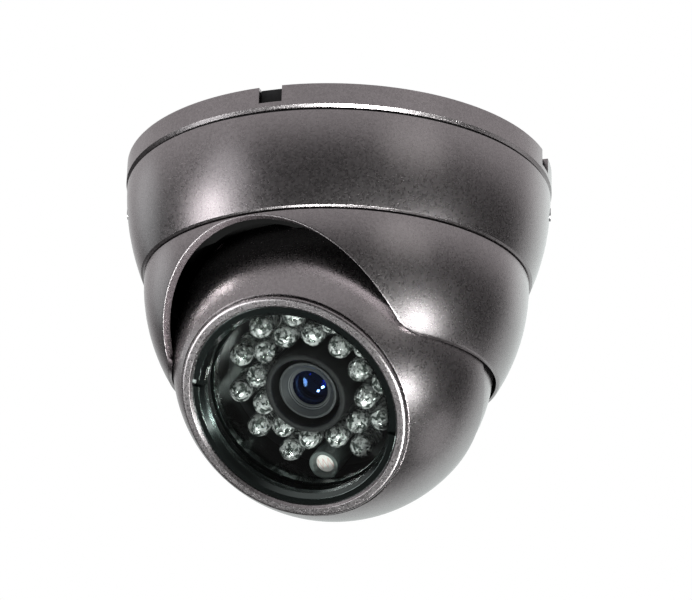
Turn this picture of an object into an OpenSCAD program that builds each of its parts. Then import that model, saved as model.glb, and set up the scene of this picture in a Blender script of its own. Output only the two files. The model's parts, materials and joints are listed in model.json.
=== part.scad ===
// Ceiling camera with a turning turret, a tilting eyeball and a camera module that turns in the eyeball.
// Millimetres. The ceiling face is z = 0, the camera hangs below it, and the lens looks towards -Y.
// Azimuths are turned from -Y towards +X. Heights inside the eyeball are measured from its centre along
// the lens axis, towards the window.

/* [Base] */
// Outer diameter of the base at the ceiling
base_d = 94; // [90:1:120]
// Height of the base's outer lip
lip_h = 5.2; // [4.8:0.2:8]
// Width of the lip's face on the ceiling
lip_w = 4.8; // [4:0.2:6]
// Depth of the cable space between the ceiling and the base's floor
recess_h = 3.8; // [3:0.2:5]
// Thickness of the base's floor
floor_t = 2; // [1.5:0.1:3]
// Thickness of the base's round walls
base_wall = 2.1; // [1.6:0.1:2.6]
// Circle that the mounting holes lie on
mount_pcd = 72; // [66:1:74]
// Diameter of each mounting hole
mount_hole_d = 4.4; // [3.6:0.1:5]
// Number of mounting holes
mount_count = 3; // [2:1:4]
// Width of each cable notch in the lip
notch_w = 5; // [4:0.5:8]
// Height of each cable notch, measured from the ceiling
notch_h = 3.6; // [2:0.2:4]
// Azimuth of the first cable notch
notch_az = 10; // [0:1:20]
// Diameter of the cable hole through the grommet
cable_hole_d = 6.4; // [5:0.2:8]

/* [Cover ring] */
// Gap between the base's lip and the cover ring, filled by the seal
seam_gap = 0.6; // [0.4:0.1:1.5]
// Height of the cover ring
cover_h = 19.9; // [19:0.1:26]
// How far the cover's side bulges beyond a straight cone
cover_bulge = 1; // [0.5:0.1:1.6]
// Wall of the cover ring
cover_wall = 2; // [1.6:0.1:2.2]
// Thickness of the cover's lower lip, which carries the turret
cover_lip_t = 1.8; // [1.4:0.1:2.4]
// How far the cover's foot stands out beyond the turret
foot_step = 0.6; // [0.2:0.1:1.2]
// Diameter of the set screws that hold the cover
cover_screw_d = 3; // [2.5:0.5:4]
// Azimuth of the first set screw
cover_screw_az = 115; // [100:1:130]

/* [Turret] */
// How far the turret's side lies inside the base's side
turret_step = 5; // [4:0.5:7]
// Wall of the turret
turret_wall = 2; // [1.6:0.1:2.4]
// How far the neck lies inside the turret's side
neck_step = 2.8; // [2.4:0.1:3.2]
// Gap between the cover's foot and the turret's shoulder
shoulder_gap = 0.3; // [0.2:0.1:0.8]
// Radius of the arch that the eyeball looks out of
arch_r = 28.6; // [27:0.2:31]
// Strip of turret left above the arch
arch_strip = 0.3; // [0.3:0.1:1.5]
// Radius that rounds the arch into the rim
arch_fillet = 3; // [2:0.5:5]
// How far the rim lies below the eyeball's centre
rim_drop = 5.3; // [4:0.1:5.4]
// Thickness of the swivel frame's flange
frame_t = 2; // [1.6:0.1:3]

/* [Eyeball] */
// How far the eyeball's surface lies inside the turret's side, at the turret's widest
ball_step = 7; // [6:0.2:8]
// Gap between the eyeball and the base's floor
ball_floor_gap = 2.7; // [2.4:0.1:5]
// Wall of the eyeball's shells
ball_wall = 2; // [1.6:0.1:2.4]
// Height of the joint between the front and rear shells
seam_w = 2.2; // [2:0.1:4]
// How far the rear shell lies inside the front shell's surface
rear_step = 0.5; // [0.2:0.1:0.8]
// Angle of the lens below the horizontal
lens_down = 43.3; // [16:0.1:89]
// Diameter of the tilt studs
stud_d = 2.9; // [2.4:0.1:3.2]

/* [Camera module] */
// Diameter of the gap between the eyeball and the front bezel
mouth_d = 51.1; // [50:0.1:52]
// Outer diameter of the module's barrel
barrel_d = 48; // [47:0.1:48.4]
// Wall of the barrel behind the ledge
barrel_wall = 2.4; // [1.6:0.1:2.6]
// Diameter of the window glass
window_d = 44.6; // [44:0.1:45]
// Thickness of the window glass
window_t = 2.2; // [1.5:0.1:2.4]
// Width of the ledge that the glass sits on
ledge_land = 2.3; // [1.8:0.1:2.6]
// How far the retaining ring reaches over the glass
ring_land = 1.7; // [1.2:0.1:2.4]
// Diameter of one infrared LED
led_d = 5; // [3:0.1:5]
// Circle of the inner LEDs
led_in_pcd = 24.6; // [24.6:0.1:25]
// Circle of the outer LEDs
led_out_pcd = 33.3; // [33.2:0.1:34]
// Number of places in each circle of LEDs
led_places = 12; // [8:1:12]
// Circle of the light sensor
eye_pcd = 34.2; // [34:0.1:34.8]
// Outer diameter of the light sensor's rubber shroud
eye_d = 6.6; // [6:0.1:6.8]
// Outer diameter of the rubber sleeve round the lens
sleeve_d = 18.2; // [17:0.1:18.6]
// Diameter of the lens's front
lens_head_d = 13; // [12.4:0.1:14]
// Diameter of the lens's thread
lens_thread_d = 11.8; // [11.6:0.1:12]

/* [Fits] */
// Clearance round the eyeball in the turret
ball_clear = 0.35; // [0.3:0.05:0.5]
// Clearance round the turret's neck and flange
pan_clear = 0.3; // [0.2:0.05:0.5]
// Radial clearance of the barrel in the eyeball
roll_clear = 0.06; // [0.03:0.01:0.1]
// Radial clearance of the tilt studs in their bushes
stud_clear = 0.05; // [0.02:0.01:0.1]
// End play of the barrel in the eyeball
roll_play = 0.05; // [0.02:0.01:0.15]
// Clearance between pieces that only pass each other
slack = 0.25; // [0.15:0.05:0.4]

/* [Hidden] */
$fn = 96;
over = 1;

// Radii of the main shells
base_r = base_d / 2;
turret_r = base_r - turret_step;
ball_r = turret_r - ball_step;
rear_r = ball_r - rear_step;
lip_in_r = base_r - lip_w;

// Heights of the base and the cover
floor_z = -recess_h - floor_t;
cover_top_z = -lip_h - seam_gap;
foot_z = cover_top_z - cover_h;
foot_r = turret_r + foot_step;
lip_draft = 0.25;
cover_top_r = base_r - lip_draft;
cover_lip_z = foot_z + cover_lip_t;
spigot_step = 2.7;
spigot_h = 6.4;
spigot_r = base_r - spigot_step;
spigot_z = cover_top_z - spigot_h;

// The cover's side is an arc through its top and its foot, bulged by cover_bulge
chord_r = cover_top_r - foot_r;
chord = norm([chord_r, cover_h]);
side_r = chord * chord / (8 * cover_bulge) + cover_bulge / 2;
side_cr = (cover_top_r + foot_r) / 2 - (side_r - cover_bulge) * cover_h / chord;
side_cz = (cover_top_z + foot_z) / 2 + (side_r - cover_bulge) * chord_r / chord;
function cover_in_r(z) = side_cr + sqrt(pow(side_r - cover_wall, 2) - pow(z - side_cz, 2));

// The eyeball's place, and the turret round it
ball_z = floor_z - ball_floor_gap - ball_r;
ball_drop = 17;
turret_z = ball_z + ball_drop;
shoulder_z = foot_z - shoulder_gap;
shoulder_t = 2.2;
rim_z = ball_z - rim_drop;
neck_r = turret_r - neck_step;
neck_wall = 1.8;
neck_in_r = neck_r - neck_wall;
arch_z = shoulder_z - arch_strip - arch_r;
arch_low_z = min(arch_z, rim_z) - over;
// The rounding overlaps the arch and the rim a little, so that its edges cross them and don't just touch
arch_lap = 0.03;
arch_fillet_z = rim_z + arch_fillet - arch_lap;
arch_fillet_x = sqrt(pow(arch_r + arch_fillet - arch_lap, 2) - pow(arch_fillet_z - arch_z, 2));

// The stack that the turret hangs from: cover lip, friction ring, frame flange, wave washer, skirt
friction_t = 0.5;
washer_t = 0.5;
frame_z = cover_lip_z + friction_t;
frame_top_z = frame_z + frame_t;
skirt_z = frame_top_z + washer_t;
flange_r = cover_in_r(frame_z) - pan_clear;
skirt_r = cover_in_r(skirt_z) - slack;
skirt_t = 1.8;
skirt_in_r = skirt_r - skirt_t;
frame_ball_gap = 1.2;
frame_in_r = sqrt(pow(ball_r, 2) - pow(frame_z - ball_z, 2)) + frame_ball_gap;

// Pan stop: a post under the base's floor and a lug on the frame, opposite each other
stop_w = 3;
stop_len = 3.6;
stop_step = 1.8;
stop_r = neck_in_r - stop_step - stop_len;
stop_lap = 2;
lug_h = 5.5;
lug_top_z = frame_top_z + lug_h;

// Screws that hold the frame on the turret
frame_screw_step = 1.4;
frame_screw_r = neck_in_r - frame_screw_step;
frame_screw_count = 4;
frame_boss_r = 2.2;
frame_boss_len = 6.4;
m2_r = 1;
m2_head_r = 1.9;
m2_head_h = 1.3;
m2_socket_r = 0.8;
screw_play = 0.1;

// Tilt pivots on the X axis through the eyeball's centre
stud_r = stud_d / 2;
bush_r = stud_r + 1;
tilt_washer_t = 0.7;
tilt_washer_r = stud_r + 1.55;
pocket_depth = 1.6;
pocket_x = ball_r - pocket_depth;
pocket_play = 0.2;
pocket_r = tilt_washer_r + pocket_play;
stud_reach = 1.3;
stud_x = ball_r + stud_reach;
bush_x = pocket_x + tilt_washer_t;
channel_end_gap = 0.15;
channel_x = stud_x + channel_end_gap;
channel_h = 8;
finger_x = ball_r + ball_clear;
finger_t = 1.05;
finger_w = 4.6;

// Heights of the camera module, counted back from the eyeball's mouth
window_play = 0.6;
bezel_edge = 0.5;
bezel_lead = 0.8;
mouth_r = mouth_d / 2;
barrel_r = barrel_d / 2;
mouth_w = sqrt(pow(ball_r, 2) - pow(mouth_r, 2));
mouth_gap = 0.25;
bezel_r = mouth_r - mouth_gap;
bezel_sunk = 1;
bezel_proud = 0.95;
bezel_back_w = mouth_w - bezel_sunk;
bezel_front_w = mouth_w + bezel_proud;
bezel_round = 0.75;
window_r = window_d / 2;
thread_r = window_r + window_play;
bezel_in_r = thread_r + bezel_edge;
ring_bore_r = window_r - ring_land;
ledge_r = window_r - ledge_land;
ring_h = 2.5;
window_top_w = bezel_front_w - bezel_lead - ring_h;
window_w = window_top_w - window_t;
ledge_t = 2;
ledge_w = window_w - ledge_t;
bore_r = barrel_r - barrel_wall;
seal_step = 0.8;
seal_r = window_r - seal_step;
seal_w = 1.2;
seal_t = 1;
led_board_t = 1.6;
led_room = 9.8;
led_board_w = ledge_w - led_room;
board_step = 0.4;
led_board_r = barrel_r - board_step;
collar_len = 5.7;
collar_w = bezel_back_w - collar_len;
collar_t = 2.2;
roll_washer_t = 0.4;
circlip_t = 0.9;
circlip_w = collar_w - roll_washer_t - roll_play - circlip_t;
circlip_groove = 0.7;
circlip_proud = 1.4;
circlip_in_r = barrel_r - circlip_groove;
circlip_r = barrel_r + circlip_proud;
roll_stop_lift = 1.9;
roll_stop_w = led_board_w + roll_stop_lift;
roll_stop_h = 3.5;
roll_stop_t = 2;
roll_lug_len = 2.25;
main_board_t = 1.6;
board_gap = 10.6;
main_board_w = led_board_w - led_board_t - board_gap;
main_board_r = barrel_r + board_step;
stack_step = 1.2;
stack_r = barrel_r - stack_step;
stack_screw_r = 0.7;
stack_hole_r = 0.9;
stack_az = [30, 150, 270];

// Joint screws of the eyeball's shells
gasket_t = 0.4;
shell_screw_step = 6;
shell_screw_r = ball_r - shell_screw_step;
shell_boss_r = 2.5;
shell_boss_len = 11.8;
shell_head_w = -9;
shell_az = [90, 210, 330];
shell_head_pocket_r = 2.1;

// LEDs, light sensor and lens
led_r = led_d / 2;
led_flange_step = 0.2;
led_flange_r = led_r + led_flange_step;
led_flange_h = 1;
led_h = 8.7;
led_in_phase = 9.6;
led_out_phase = -5.4;
eye_place = 9;
led_step = 360 / led_places;
eye_r = eye_d / 2;
eye_h = 9.4;
eye_disc_r = 2.15;
sleeve_h = 10;
sleeve_wall = 1.4;
board_hole_r = 7.9;
lens_thread_r = lens_thread_d / 2;
lens_head_r = lens_head_d / 2;
lens_front_lift = 8.4;
lens_back_drop = 8.1;
lens_front_w = led_board_w + lens_front_lift;
lens_head_h = 5.5;
lens_back_w = led_board_w - lens_back_drop;
lens_bore_r = 4.5;
lens_eye_r = 3.9;
lens_cone_h = 1.6;
holder_r = 7;
holder_base = 14;
holder_base_h = 3;
holder_drop = 2.6;
holder_top_w = led_board_w - holder_drop;
holder_ear = 20;
holder_ear_w = 4;
holder_screw_step = 1.6;
holder_screw_r = holder_ear / 2 - holder_screw_step;
filter_t = 0.6;
nut_h = 1.8;
nut_r = 7.4;

// Cable bush in the eyeball's back
bush_hole_r = 4.2;
bush_lip_r = 5.4;
bush_bore_r = 2.8;
bush_lip_t = 1.2;

// Grommet in the base's floor
grommet_r = 7;
grommet_lip_r = 9;
grommet_top_t = 0.7;
grommet_low_t = 0.5;

gunmetal = [0.45, 0.42, 0.44];
black = [0.08, 0.08, 0.09];
steel = [0.7, 0.7, 0.72];
brass = [0.8, 0.66, 0.35];
rubber = [0.12, 0.12, 0.12];
clear = [0.85, 0.92, 0.9, 0.6];
board_black = [0.06, 0.07, 0.07];

// Round tube from height low to height low + h
module tube(r_out, r_in, low, h) {
  translate([0, 0, low])
    difference() {
      cylinder(r = r_out, h = h);
      translate([0, 0, -over])
        cylinder(r = r_in, h = h + 2 * over);
    }
}

// Round rod from height low to height low + h
module rod(r, low, h) {
  translate([0, 0, low])
    cylinder(r = r, h = h);
}

// Places its children at a radius, in each of the azimuths listed
module around(azimuths, radius) {
  for (az = azimuths)
    rotate([0, 0, az])
      translate([0, -radius, 0])
        children();
}

// Places its children on a circle in the module, at angles counted from +X
module on_circle(angles, radius) {
  for (a = angles)
    rotate([0, 0, a])
      translate([radius, 0, 0])
        children();
}

// Moves the eyeball's own frame to its place: +Z becomes the lens axis
module in_ball() {
  translate([0, 0, ball_z])
    rotate([90 + lens_down, 0, 0])
      children();
}

// Left and right tilt pivot, drawn with the pivot axis along +Z
module at_pivots() {
  for (side = [-1, 1])
    translate([0, 0, ball_z])
      rotate([0, side * 90, 0])
        children();
}

// Band of the r-z plane between two heights
module band(r_max, low, high) {
  translate([0, low])
    square([r_max, high - low]);
}

// Half disc to the right of the axis
module half_disc(r, at_r, at_z) {
  intersection() {
    translate([at_r, at_z])
      circle(r = r, $fn = 180);
    translate([0, at_z - 2 * r])
      square([at_r + 2 * r, 4 * r]);
  }
}

mount_az = [for (i = [0:mount_count - 1]) 30 + i * 360 / mount_count];
notch_azs = [for (i = [0:3]) notch_az + i * 90];
cover_screw_azs = [cover_screw_az, cover_screw_az + 180];
frame_screw_azs = [for (i = [0:frame_screw_count - 1]) 45 + i * 360 / frame_screw_count];
cover_screw_z = spigot_z + 3;
cover_screw_r = cover_screw_d / 2;
led_in_angles = [for (i = [0:led_places - 1]) led_in_phase + i * led_step];
led_out_angles = [for (i = [0:led_places - 1]) if (i != eye_place) led_out_phase + i * led_step];
eye_angle = led_out_phase + eye_place * led_step;

module base_housing() {
  edge = 0.6;
  mount_boss_r = 5;
  color(gunmetal)
    difference() {
      union() {
        rotate_extrude()
          difference() {
            union() {
              band(base_r, -lip_h, 0);
              band(spigot_r, spigot_z, -lip_h);
              band(skirt_r, skirt_z, spigot_z + base_wall);
            }
            band(lip_in_r, -recess_h, over);
            band(spigot_r - base_wall, spigot_z + base_wall, floor_z);
            band(skirt_in_r, skirt_z - over, floor_z);
            polygon([[base_r - edge, -lip_h - over], [base_r + over, -lip_h - over],
              [base_r + over, -lip_h + edge + over], [base_r - edge, -lip_h]]);
          }
        around(mount_az, mount_pcd / 2)
          rod(mount_boss_r, floor_z, -floor_z);
        around([180], stop_r + stop_len / 2)
          translate([-stop_w / 2, -stop_len / 2, lug_top_z - stop_lap])
            cube([stop_w, stop_len, floor_z + floor_t / 2 - lug_top_z + stop_lap]);
      }
      around(mount_az, mount_pcd / 2)
        rod(mount_hole_d / 2, floor_z - over, over * 2 - floor_z);
      rod(grommet_r, floor_z - over, floor_t + 2 * over);
      around(notch_azs, base_r)
        translate([-notch_w / 2, -over, -notch_h])
          cube([notch_w, lip_w + 2 * over, notch_h + over]);
      around(cover_screw_azs, spigot_r)
        translate([0, -over, cover_screw_z])
          rotate([-90, 0, 0])
            rod(cover_screw_r, 0, base_wall + 2 * over);
    }
}

// Rubber blocks that close the cable notches that no cable runs through
module notch_plugs() {
  plug_recess = 1;
  plug_gap = 0.2;
  color(rubber)
    around(notch_azs, base_r - plug_recess)
      translate([-notch_w / 2, 0, -notch_h])
        cube([notch_w, lip_w - plug_recess, notch_h - plug_gap]);
}

module cable_grommet() {
  color(rubber)
    difference() {
      union() {
        rod(grommet_r, floor_z, floor_t);
        rod(grommet_lip_r, -recess_h, grommet_top_t);
        rod(grommet_lip_r, floor_z - grommet_low_t, grommet_low_t);
      }
      rod(cable_hole_d / 2, floor_z - 2 * over, floor_t + 4 * over);
    }
}

module cover_ring() {
  bevel = 0.5;
  bore_play = 0.2;
  color(gunmetal)
    difference() {
      rotate_extrude()
        difference() {
          intersection() {
            half_disc(side_r, side_cr, side_cz);
            band(base_r + 2 * cover_bulge, foot_z, cover_top_z);
          }
          intersection() {
            half_disc(side_r - cover_wall, side_cr, side_cz);
            band(base_r, cover_lip_z, cover_top_z + over);
          }
          band(spigot_r + bore_play, spigot_z - over, cover_top_z + over);
          band(neck_r + pan_clear, foot_z - over, cover_lip_z + over);
          polygon([[foot_r - bevel, foot_z - over], [foot_r + over, foot_z - over],
            [foot_r + over, foot_z + bevel + over], [foot_r - bevel, foot_z]]);
        }
      around(cover_screw_azs, base_r)
        translate([0, -over, cover_screw_z])
          rotate([-90, 0, 0])
            rod(cover_screw_r, 0, base_r - spigot_r + 2 * over);
    }
}

module cover_seal() {
  seal_step = 0.7;
  color(rubber)
    tube(cover_top_r - seal_step, spigot_r, cover_top_z, seam_gap);
}

module cover_screws() {
  screw_len = 3.4;
  socket_r = 0.9;
  socket_depth = 1.6;
  sunk = 0.25;
  color(steel)
    around(cover_screw_azs, base_r - sunk)
      translate([0, 0, cover_screw_z])
        rotate([-90, 0, 0])
          difference() {
            rod(cover_screw_r, 0, screw_len);
            rod(socket_r, -over, socket_depth + over, $fn = 6);
          }
}

module pan_friction_ring() {
  color([0.9, 0.9, 0.88])
    tube(flange_r, neck_r + pan_clear, cover_lip_z, friction_t);
}

module wave_washer() {
  color(steel)
    tube(skirt_r - slack, skirt_in_r, frame_top_z, washer_t);
}

// Outline that the eyeball looks out of, seen from the front: an arch with its corners rounded to the rim
module arch_outline() {
  translate([0, arch_z])
    circle(r = arch_r, $fn = 180);
  for (side = [0, 1])
    mirror([side, 0])
      difference() {
        polygon([[0, arch_z], [arch_fillet_x, arch_fillet_z], [arch_fillet_x, arch_low_z],
          [0, arch_low_z]]);
        translate([arch_fillet_x, arch_fillet_z])
          circle(r = arch_fillet);
      }
}

module turret_shell() {
  color(gunmetal)
    difference() {
      union() {
        rotate_extrude()
          difference() {
            union() {
              intersection() {
                half_disc(turret_r, 0, turret_z);
                band(turret_r, rim_z, shoulder_z);
              }
              band(neck_r, shoulder_z - shoulder_t, frame_z);
            }
            intersection() {
              half_disc(turret_r - turret_wall, 0, turret_z);
              band(turret_r, rim_z - over, shoulder_z - shoulder_t);
            }
            band(neck_in_r, shoulder_z - shoulder_t - over, frame_z + over);
            half_disc(ball_r + ball_clear, 0, ball_z);
          }
        around(frame_screw_azs, frame_screw_r)
          rod(frame_boss_r, frame_z - frame_boss_len, frame_boss_len);
      }
      rotate([90, 0, 0])
        linear_extrude(height = base_r)
          arch_outline();
      around(frame_screw_azs, frame_screw_r)
        rod(m2_r, frame_z - frame_boss_len + over, frame_boss_len);
      at_pivots()
        rod(bush_r, bush_x, channel_x - bush_x);
      for (side = [-1, 1])
        translate([side * (bush_x + channel_x) / 2, 0, ball_z + channel_h / 2])
          cube([channel_x - bush_x, 2 * bush_r, channel_h], center = true);
    }
}

module swivel_frame() {
  slot_w = 15;
  slot_r = neck_in_r - 1;
  finger_z = ball_z + bush_r;
  color(black)
    difference() {
      union() {
        tube(flange_r, frame_in_r, frame_z, frame_t);
        around([0], stop_r + stop_len / 2)
          translate([-stop_w / 2, -stop_len / 2, frame_z])
            cube([stop_w, stop_len, lug_top_z - frame_z]);
        for (side = [0, 1])
          mirror([side, 0, 0])
            translate([finger_x, -finger_w / 2, finger_z])
              cube([finger_t, finger_w, frame_top_z - finger_z]);
      }
      around(frame_screw_azs, frame_screw_r)
        rod(m2_r + screw_play, frame_z - over, frame_t + 2 * over);
      translate([-slot_w / 2, 0, frame_z - over])
        intersection() {
          cube([slot_w, base_r, frame_t + 2 * over]);
          translate([slot_w / 2, 0, 0])
            cylinder(r = slot_r, h = frame_t + 2 * over);
        }
    }
}

module frame_screws() {
  color(steel)
    around(frame_screw_azs, frame_screw_r) {
      rod(m2_r, frame_z - frame_boss_len + 2 * over, frame_top_z - frame_z + frame_boss_len - 2 * over);
      difference() {
        rod(m2_head_r, frame_top_z, m2_head_h);
        rod(m2_socket_r, frame_top_z + m2_head_h / 2, over, $fn = 6);
      }
    }
}

module pivot_bushes() {
  color([0.9, 0.88, 0.8])
    at_pivots()
      tube(bush_r, stud_r + stud_clear, bush_x, channel_x - bush_x);
}

// Front and rear bosses that the shell screws run in
module shell_bosses(low, high) {
  on_circle(shell_az, shell_screw_r)
    rod(shell_boss_r, low, high - low);
}

// Ring-shaped recess round each tilt stud
module pivot_pockets() {
  for (side = [-1, 1])
    rotate([0, side * 90, 0])
      tube(pocket_r, stud_r, pocket_x, ball_r);
}

module eyeball_front() {
  pilot_len = 6;
  stop_in = 0.8;
  color(gunmetal)
    in_ball()
      difference() {
        union() {
          rotate_extrude()
            difference() {
              intersection() {
                half_disc(ball_r, 0, 0);
                band(ball_r, seam_w, ball_r);
              }
              difference() {
                half_disc(ball_r - ball_wall, 0, 0);
                band(barrel_r + roll_clear + collar_t, collar_w, ball_r);
              }
              band(barrel_r + roll_clear, 0, ball_r);
              band(mouth_r, bezel_back_w - roll_play, ball_r + over);
            }
          shell_bosses(seam_w, seam_w + shell_boss_len);
          on_circle([shell_az[0]], barrel_r + stop_in)
            translate([0, -roll_stop_t / 2, roll_stop_w])
              cube([shell_screw_r - barrel_r - stop_in, roll_stop_t, roll_stop_h]);
        }
        on_circle(shell_az, shell_screw_r)
          rod(m2_r, seam_w - over, pilot_len + over);
        pivot_pockets();
      }
}

module eyeball_rear() {
  rear_top_w = seam_w - gasket_t;
  rear_boss_len = shell_boss_len + 4;
  stud_boss_r = pocket_r + 1.8;
  stud_boss_t = 2.4;
  color(gunmetal)
    in_ball()
      difference() {
        union() {
          rotate_extrude()
            difference() {
              intersection() {
                half_disc(rear_r, 0, 0);
                band(ball_r, -ball_r, rear_top_w);
              }
              half_disc(rear_r - ball_wall, 0, 0);
              band(bush_hole_r, -ball_r, 0);
            }
          shell_bosses(rear_top_w - rear_boss_len, rear_top_w);
          for (side = [-1, 1])
            rotate([0, side * 90, 0]) {
              rod(stud_boss_r, pocket_x - stud_boss_t, stud_boss_t);
              rod(stud_r, pocket_x - over, stud_x - pocket_x + over);
            }
        }
        translate([-ball_r, -ball_r, rear_top_w])
          cube(2 * ball_r);
        on_circle(shell_az, shell_screw_r) {
          rod(m2_r + screw_play, shell_head_w - over, ball_r);
          rod(shell_head_pocket_r, -ball_r, ball_r + shell_head_w);
        }
        pivot_pockets();
      }
}

module shell_gasket() {
  gasket_step = 0.5;
  color(rubber)
    in_ball()
      difference() {
        tube(rear_r - gasket_step, rear_r - ball_wall, seam_w - gasket_t, gasket_t);
        pivot_pockets();
      }
}

module shell_screws() {
  screw_len = 14;
  color(steel)
    in_ball()
      on_circle(shell_az, shell_screw_r)
        difference() {
          union() {
            rod(m2_r, shell_head_w, screw_len);
            rod(m2_head_r, shell_head_w - m2_head_h, m2_head_h);
          }
          rod(m2_socket_r, shell_head_w - m2_head_h - over, over + m2_head_h / 2, $fn = 6);
        }
}

module tilt_washers() {
  color(rubber)
    at_pivots()
      tube(tilt_washer_r, stud_r, pocket_x, tilt_washer_t);
}

module cable_bush() {
  color(rubber)
    in_ball()
      rotate_extrude()
        difference() {
          intersection() {
            half_disc(rear_r + bush_lip_t, 0, 0);
            band(bush_lip_r, -ball_r - bush_lip_t, 0);
          }
          half_disc(rear_r - ball_wall - bush_lip_t, 0, 0);
          difference() {
            half_disc(rear_r, 0, 0);
            half_disc(rear_r - ball_wall, 0, 0);
            band(bush_hole_r, -ball_r, 0);
          }
          band(bush_bore_r, -ball_r - 2 * bush_lip_t, 0);
        }
}

module roll_washer() {
  color([0.9, 0.9, 0.88])
    in_ball()
      tube(barrel_r + roll_clear + collar_t - slack, barrel_r + roll_clear, collar_w - roll_washer_t,
        roll_washer_t);
}

module module_barrel() {
  front_edge = 0.4;
  pilot_len = 5;
  color(gunmetal)
    in_ball()
      difference() {
        union() {
          rotate_extrude()
            difference() {
              union() {
                band(barrel_r, led_board_w, bezel_back_w + over);
                band(bezel_r, bezel_back_w, bezel_front_w - bezel_round);
                band(bezel_r - bezel_round, bezel_back_w, bezel_front_w);
                translate([bezel_r - bezel_round, bezel_front_w - bezel_round])
                  circle(r = bezel_round);
              }
              band(bore_r, led_board_w - over, ledge_w);
              band(ledge_r, ledge_w - over, window_w + over);
              band(thread_r, window_w, bezel_front_w + over);
              polygon([[thread_r - over, bezel_front_w - front_edge - over],
                [bezel_in_r + over, bezel_front_w + over], [thread_r - over, bezel_front_w + over]]);
              translate([seal_r - seal_w / 2, window_w - seal_t])
                square([seal_w, seal_t + over]);
              translate([circlip_in_r, circlip_w])
                square([over + barrel_r - circlip_in_r, circlip_t]);
            }
          on_circle([shell_az[0] + 180], barrel_r - over)
            translate([0, -roll_stop_t / 2, roll_stop_w])
              cube([over + roll_lug_len, roll_stop_t, roll_stop_h]);
        }
        on_circle(stack_az, stack_r)
          rod(stack_screw_r, led_board_w - over, pilot_len + over);
      }
}

module circlip() {
  gap_deg = 24;
  color(steel)
    in_ball()
      difference() {
        tube(circlip_r, circlip_in_r, circlip_w, circlip_t);
        rotate([0, 0, -gap_deg / 2])
          translate([0, 0, circlip_w - over])
            cube([2 * circlip_r, 2 * circlip_r * sin(gap_deg / 2), circlip_t + 2 * over]);
      }
}

module window_glass() {
  color(clear)
    in_ball()
      rod(window_r, window_w, window_t);
}

module window_seal() {
  color(rubber)
    in_ball()
      tube(seal_r + seal_w / 2, seal_r - seal_w / 2, window_w - seal_t, seal_t);
}

module retaining_ring() {
  slot_w = 1.7;
  slot_depth = 1.5;
  slot_az = 157;
  inner_edge = 0.9;
  color(black)
    in_ball()
      difference() {
        rotate_extrude()
          difference() {
            band(thread_r, window_top_w, window_top_w + ring_h);
            band(ring_bore_r, window_top_w - over, window_top_w + ring_h + over);
            polygon([[0, window_top_w + ring_h - inner_edge],
              [ring_bore_r, window_top_w + ring_h - inner_edge],
              [ring_bore_r + inner_edge + over, window_top_w + ring_h + over],
              [0, window_top_w + ring_h + over]]);
          }
        rotate([0, 0, slot_az])
          translate([0, 0, window_top_w + ring_h - slot_depth / 2 + over / 2])
            cube([2 * base_r, slot_w, slot_depth + over], center = true);
      }
}

module led_board() {
  color(board_black)
    in_ball()
      difference() {
        rod(led_board_r, led_board_w - led_board_t, led_board_t);
        rod(board_hole_r, led_board_w - led_board_t - over, led_board_t + 2 * over);
        on_circle(stack_az, stack_r)
          rod(stack_screw_r, led_board_w - led_board_t - over, led_board_t + 2 * over);
      }
}

// One round LED standing on the board
module led() {
  translate([0, 0, led_board_w]) {
    cylinder(r = led_flange_r, h = led_flange_h, $fn = 48);
    cylinder(r = led_r, h = led_h - led_r, $fn = 48);
    translate([0, 0, led_h - led_r])
      sphere(r = led_r, $fn = 48);
  }
}

module leds_inner() {
  color(clear)
    in_ball()
      on_circle(led_in_angles, led_in_pcd / 2)
        led();
}

module leds_outer() {
  color(clear)
    in_ball()
      on_circle(led_out_angles, led_out_pcd / 2)
        led();
}

module led_resistors() {
  chip = [2, 1.25, 0.6];
  color(black)
    in_ball()
      on_circle([for (i = [0:5]) i * 60 + 10], led_in_pcd / 2)
        translate([-chip[0] / 2, -chip[1] / 2, led_board_w - led_board_t - chip[2]])
          cube(chip);
}

module light_sensor() {
  color([0.95, 0.85, 0.82])
    in_ball()
      on_circle([eye_angle], eye_pcd / 2)
        rod(eye_disc_r, led_board_w, eye_h - over);
}

module sensor_shroud() {
  color(rubber)
    in_ball()
      on_circle([eye_angle], eye_pcd / 2)
        tube(eye_r, eye_disc_r, led_board_w, eye_h);
}

module lens_sleeve() {
  color(rubber)
    in_ball()
      tube(sleeve_d / 2, sleeve_d / 2 - sleeve_wall, led_board_w, sleeve_h);
}

module lens_barrel() {
  rim = 0.5;
  color(black)
    in_ball()
      rotate_extrude()
        difference() {
          union() {
            band(lens_thread_r, lens_back_w, lens_front_w);
            band(lens_head_r, lens_front_w - lens_head_h, lens_front_w);
          }
          band(lens_bore_r, lens_back_w - over, lens_front_w - lens_cone_h);
          band(lens_eye_r, lens_back_w, lens_front_w);
          polygon([[0, lens_front_w - lens_cone_h], [lens_eye_r, lens_front_w - lens_cone_h],
            [lens_head_r - rim, lens_front_w], [lens_head_r - rim, lens_front_w + over],
            [0, lens_front_w + over]]);
        }
}

// Glass disc with a domed front and a flat back
module lens_disc(back_w, edge_t, dome_r) {
  cap_r = lens_bore_r;
  intersection() {
    rod(cap_r, back_w, 2 * cap_r);
    translate([0, 0, back_w + edge_t - sqrt(dome_r * dome_r - cap_r * cap_r)])
      sphere(r = dome_r);
  }
}

module lens_front() {
  front_t = 2.4;
  front_edge_t = 1.9;
  front_dome_r = 9;
  front_back_w = lens_front_w - lens_cone_h - front_t;
  color(clear)
    in_ball()
      intersection() {
        lens_disc(front_back_w, front_edge_t, front_dome_r);
        union() {
          rod(lens_bore_r, front_back_w, lens_front_w - lens_cone_h - front_back_w);
          rod(lens_eye_r, front_back_w, 2 * lens_bore_r);
        }
      }
}

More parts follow.
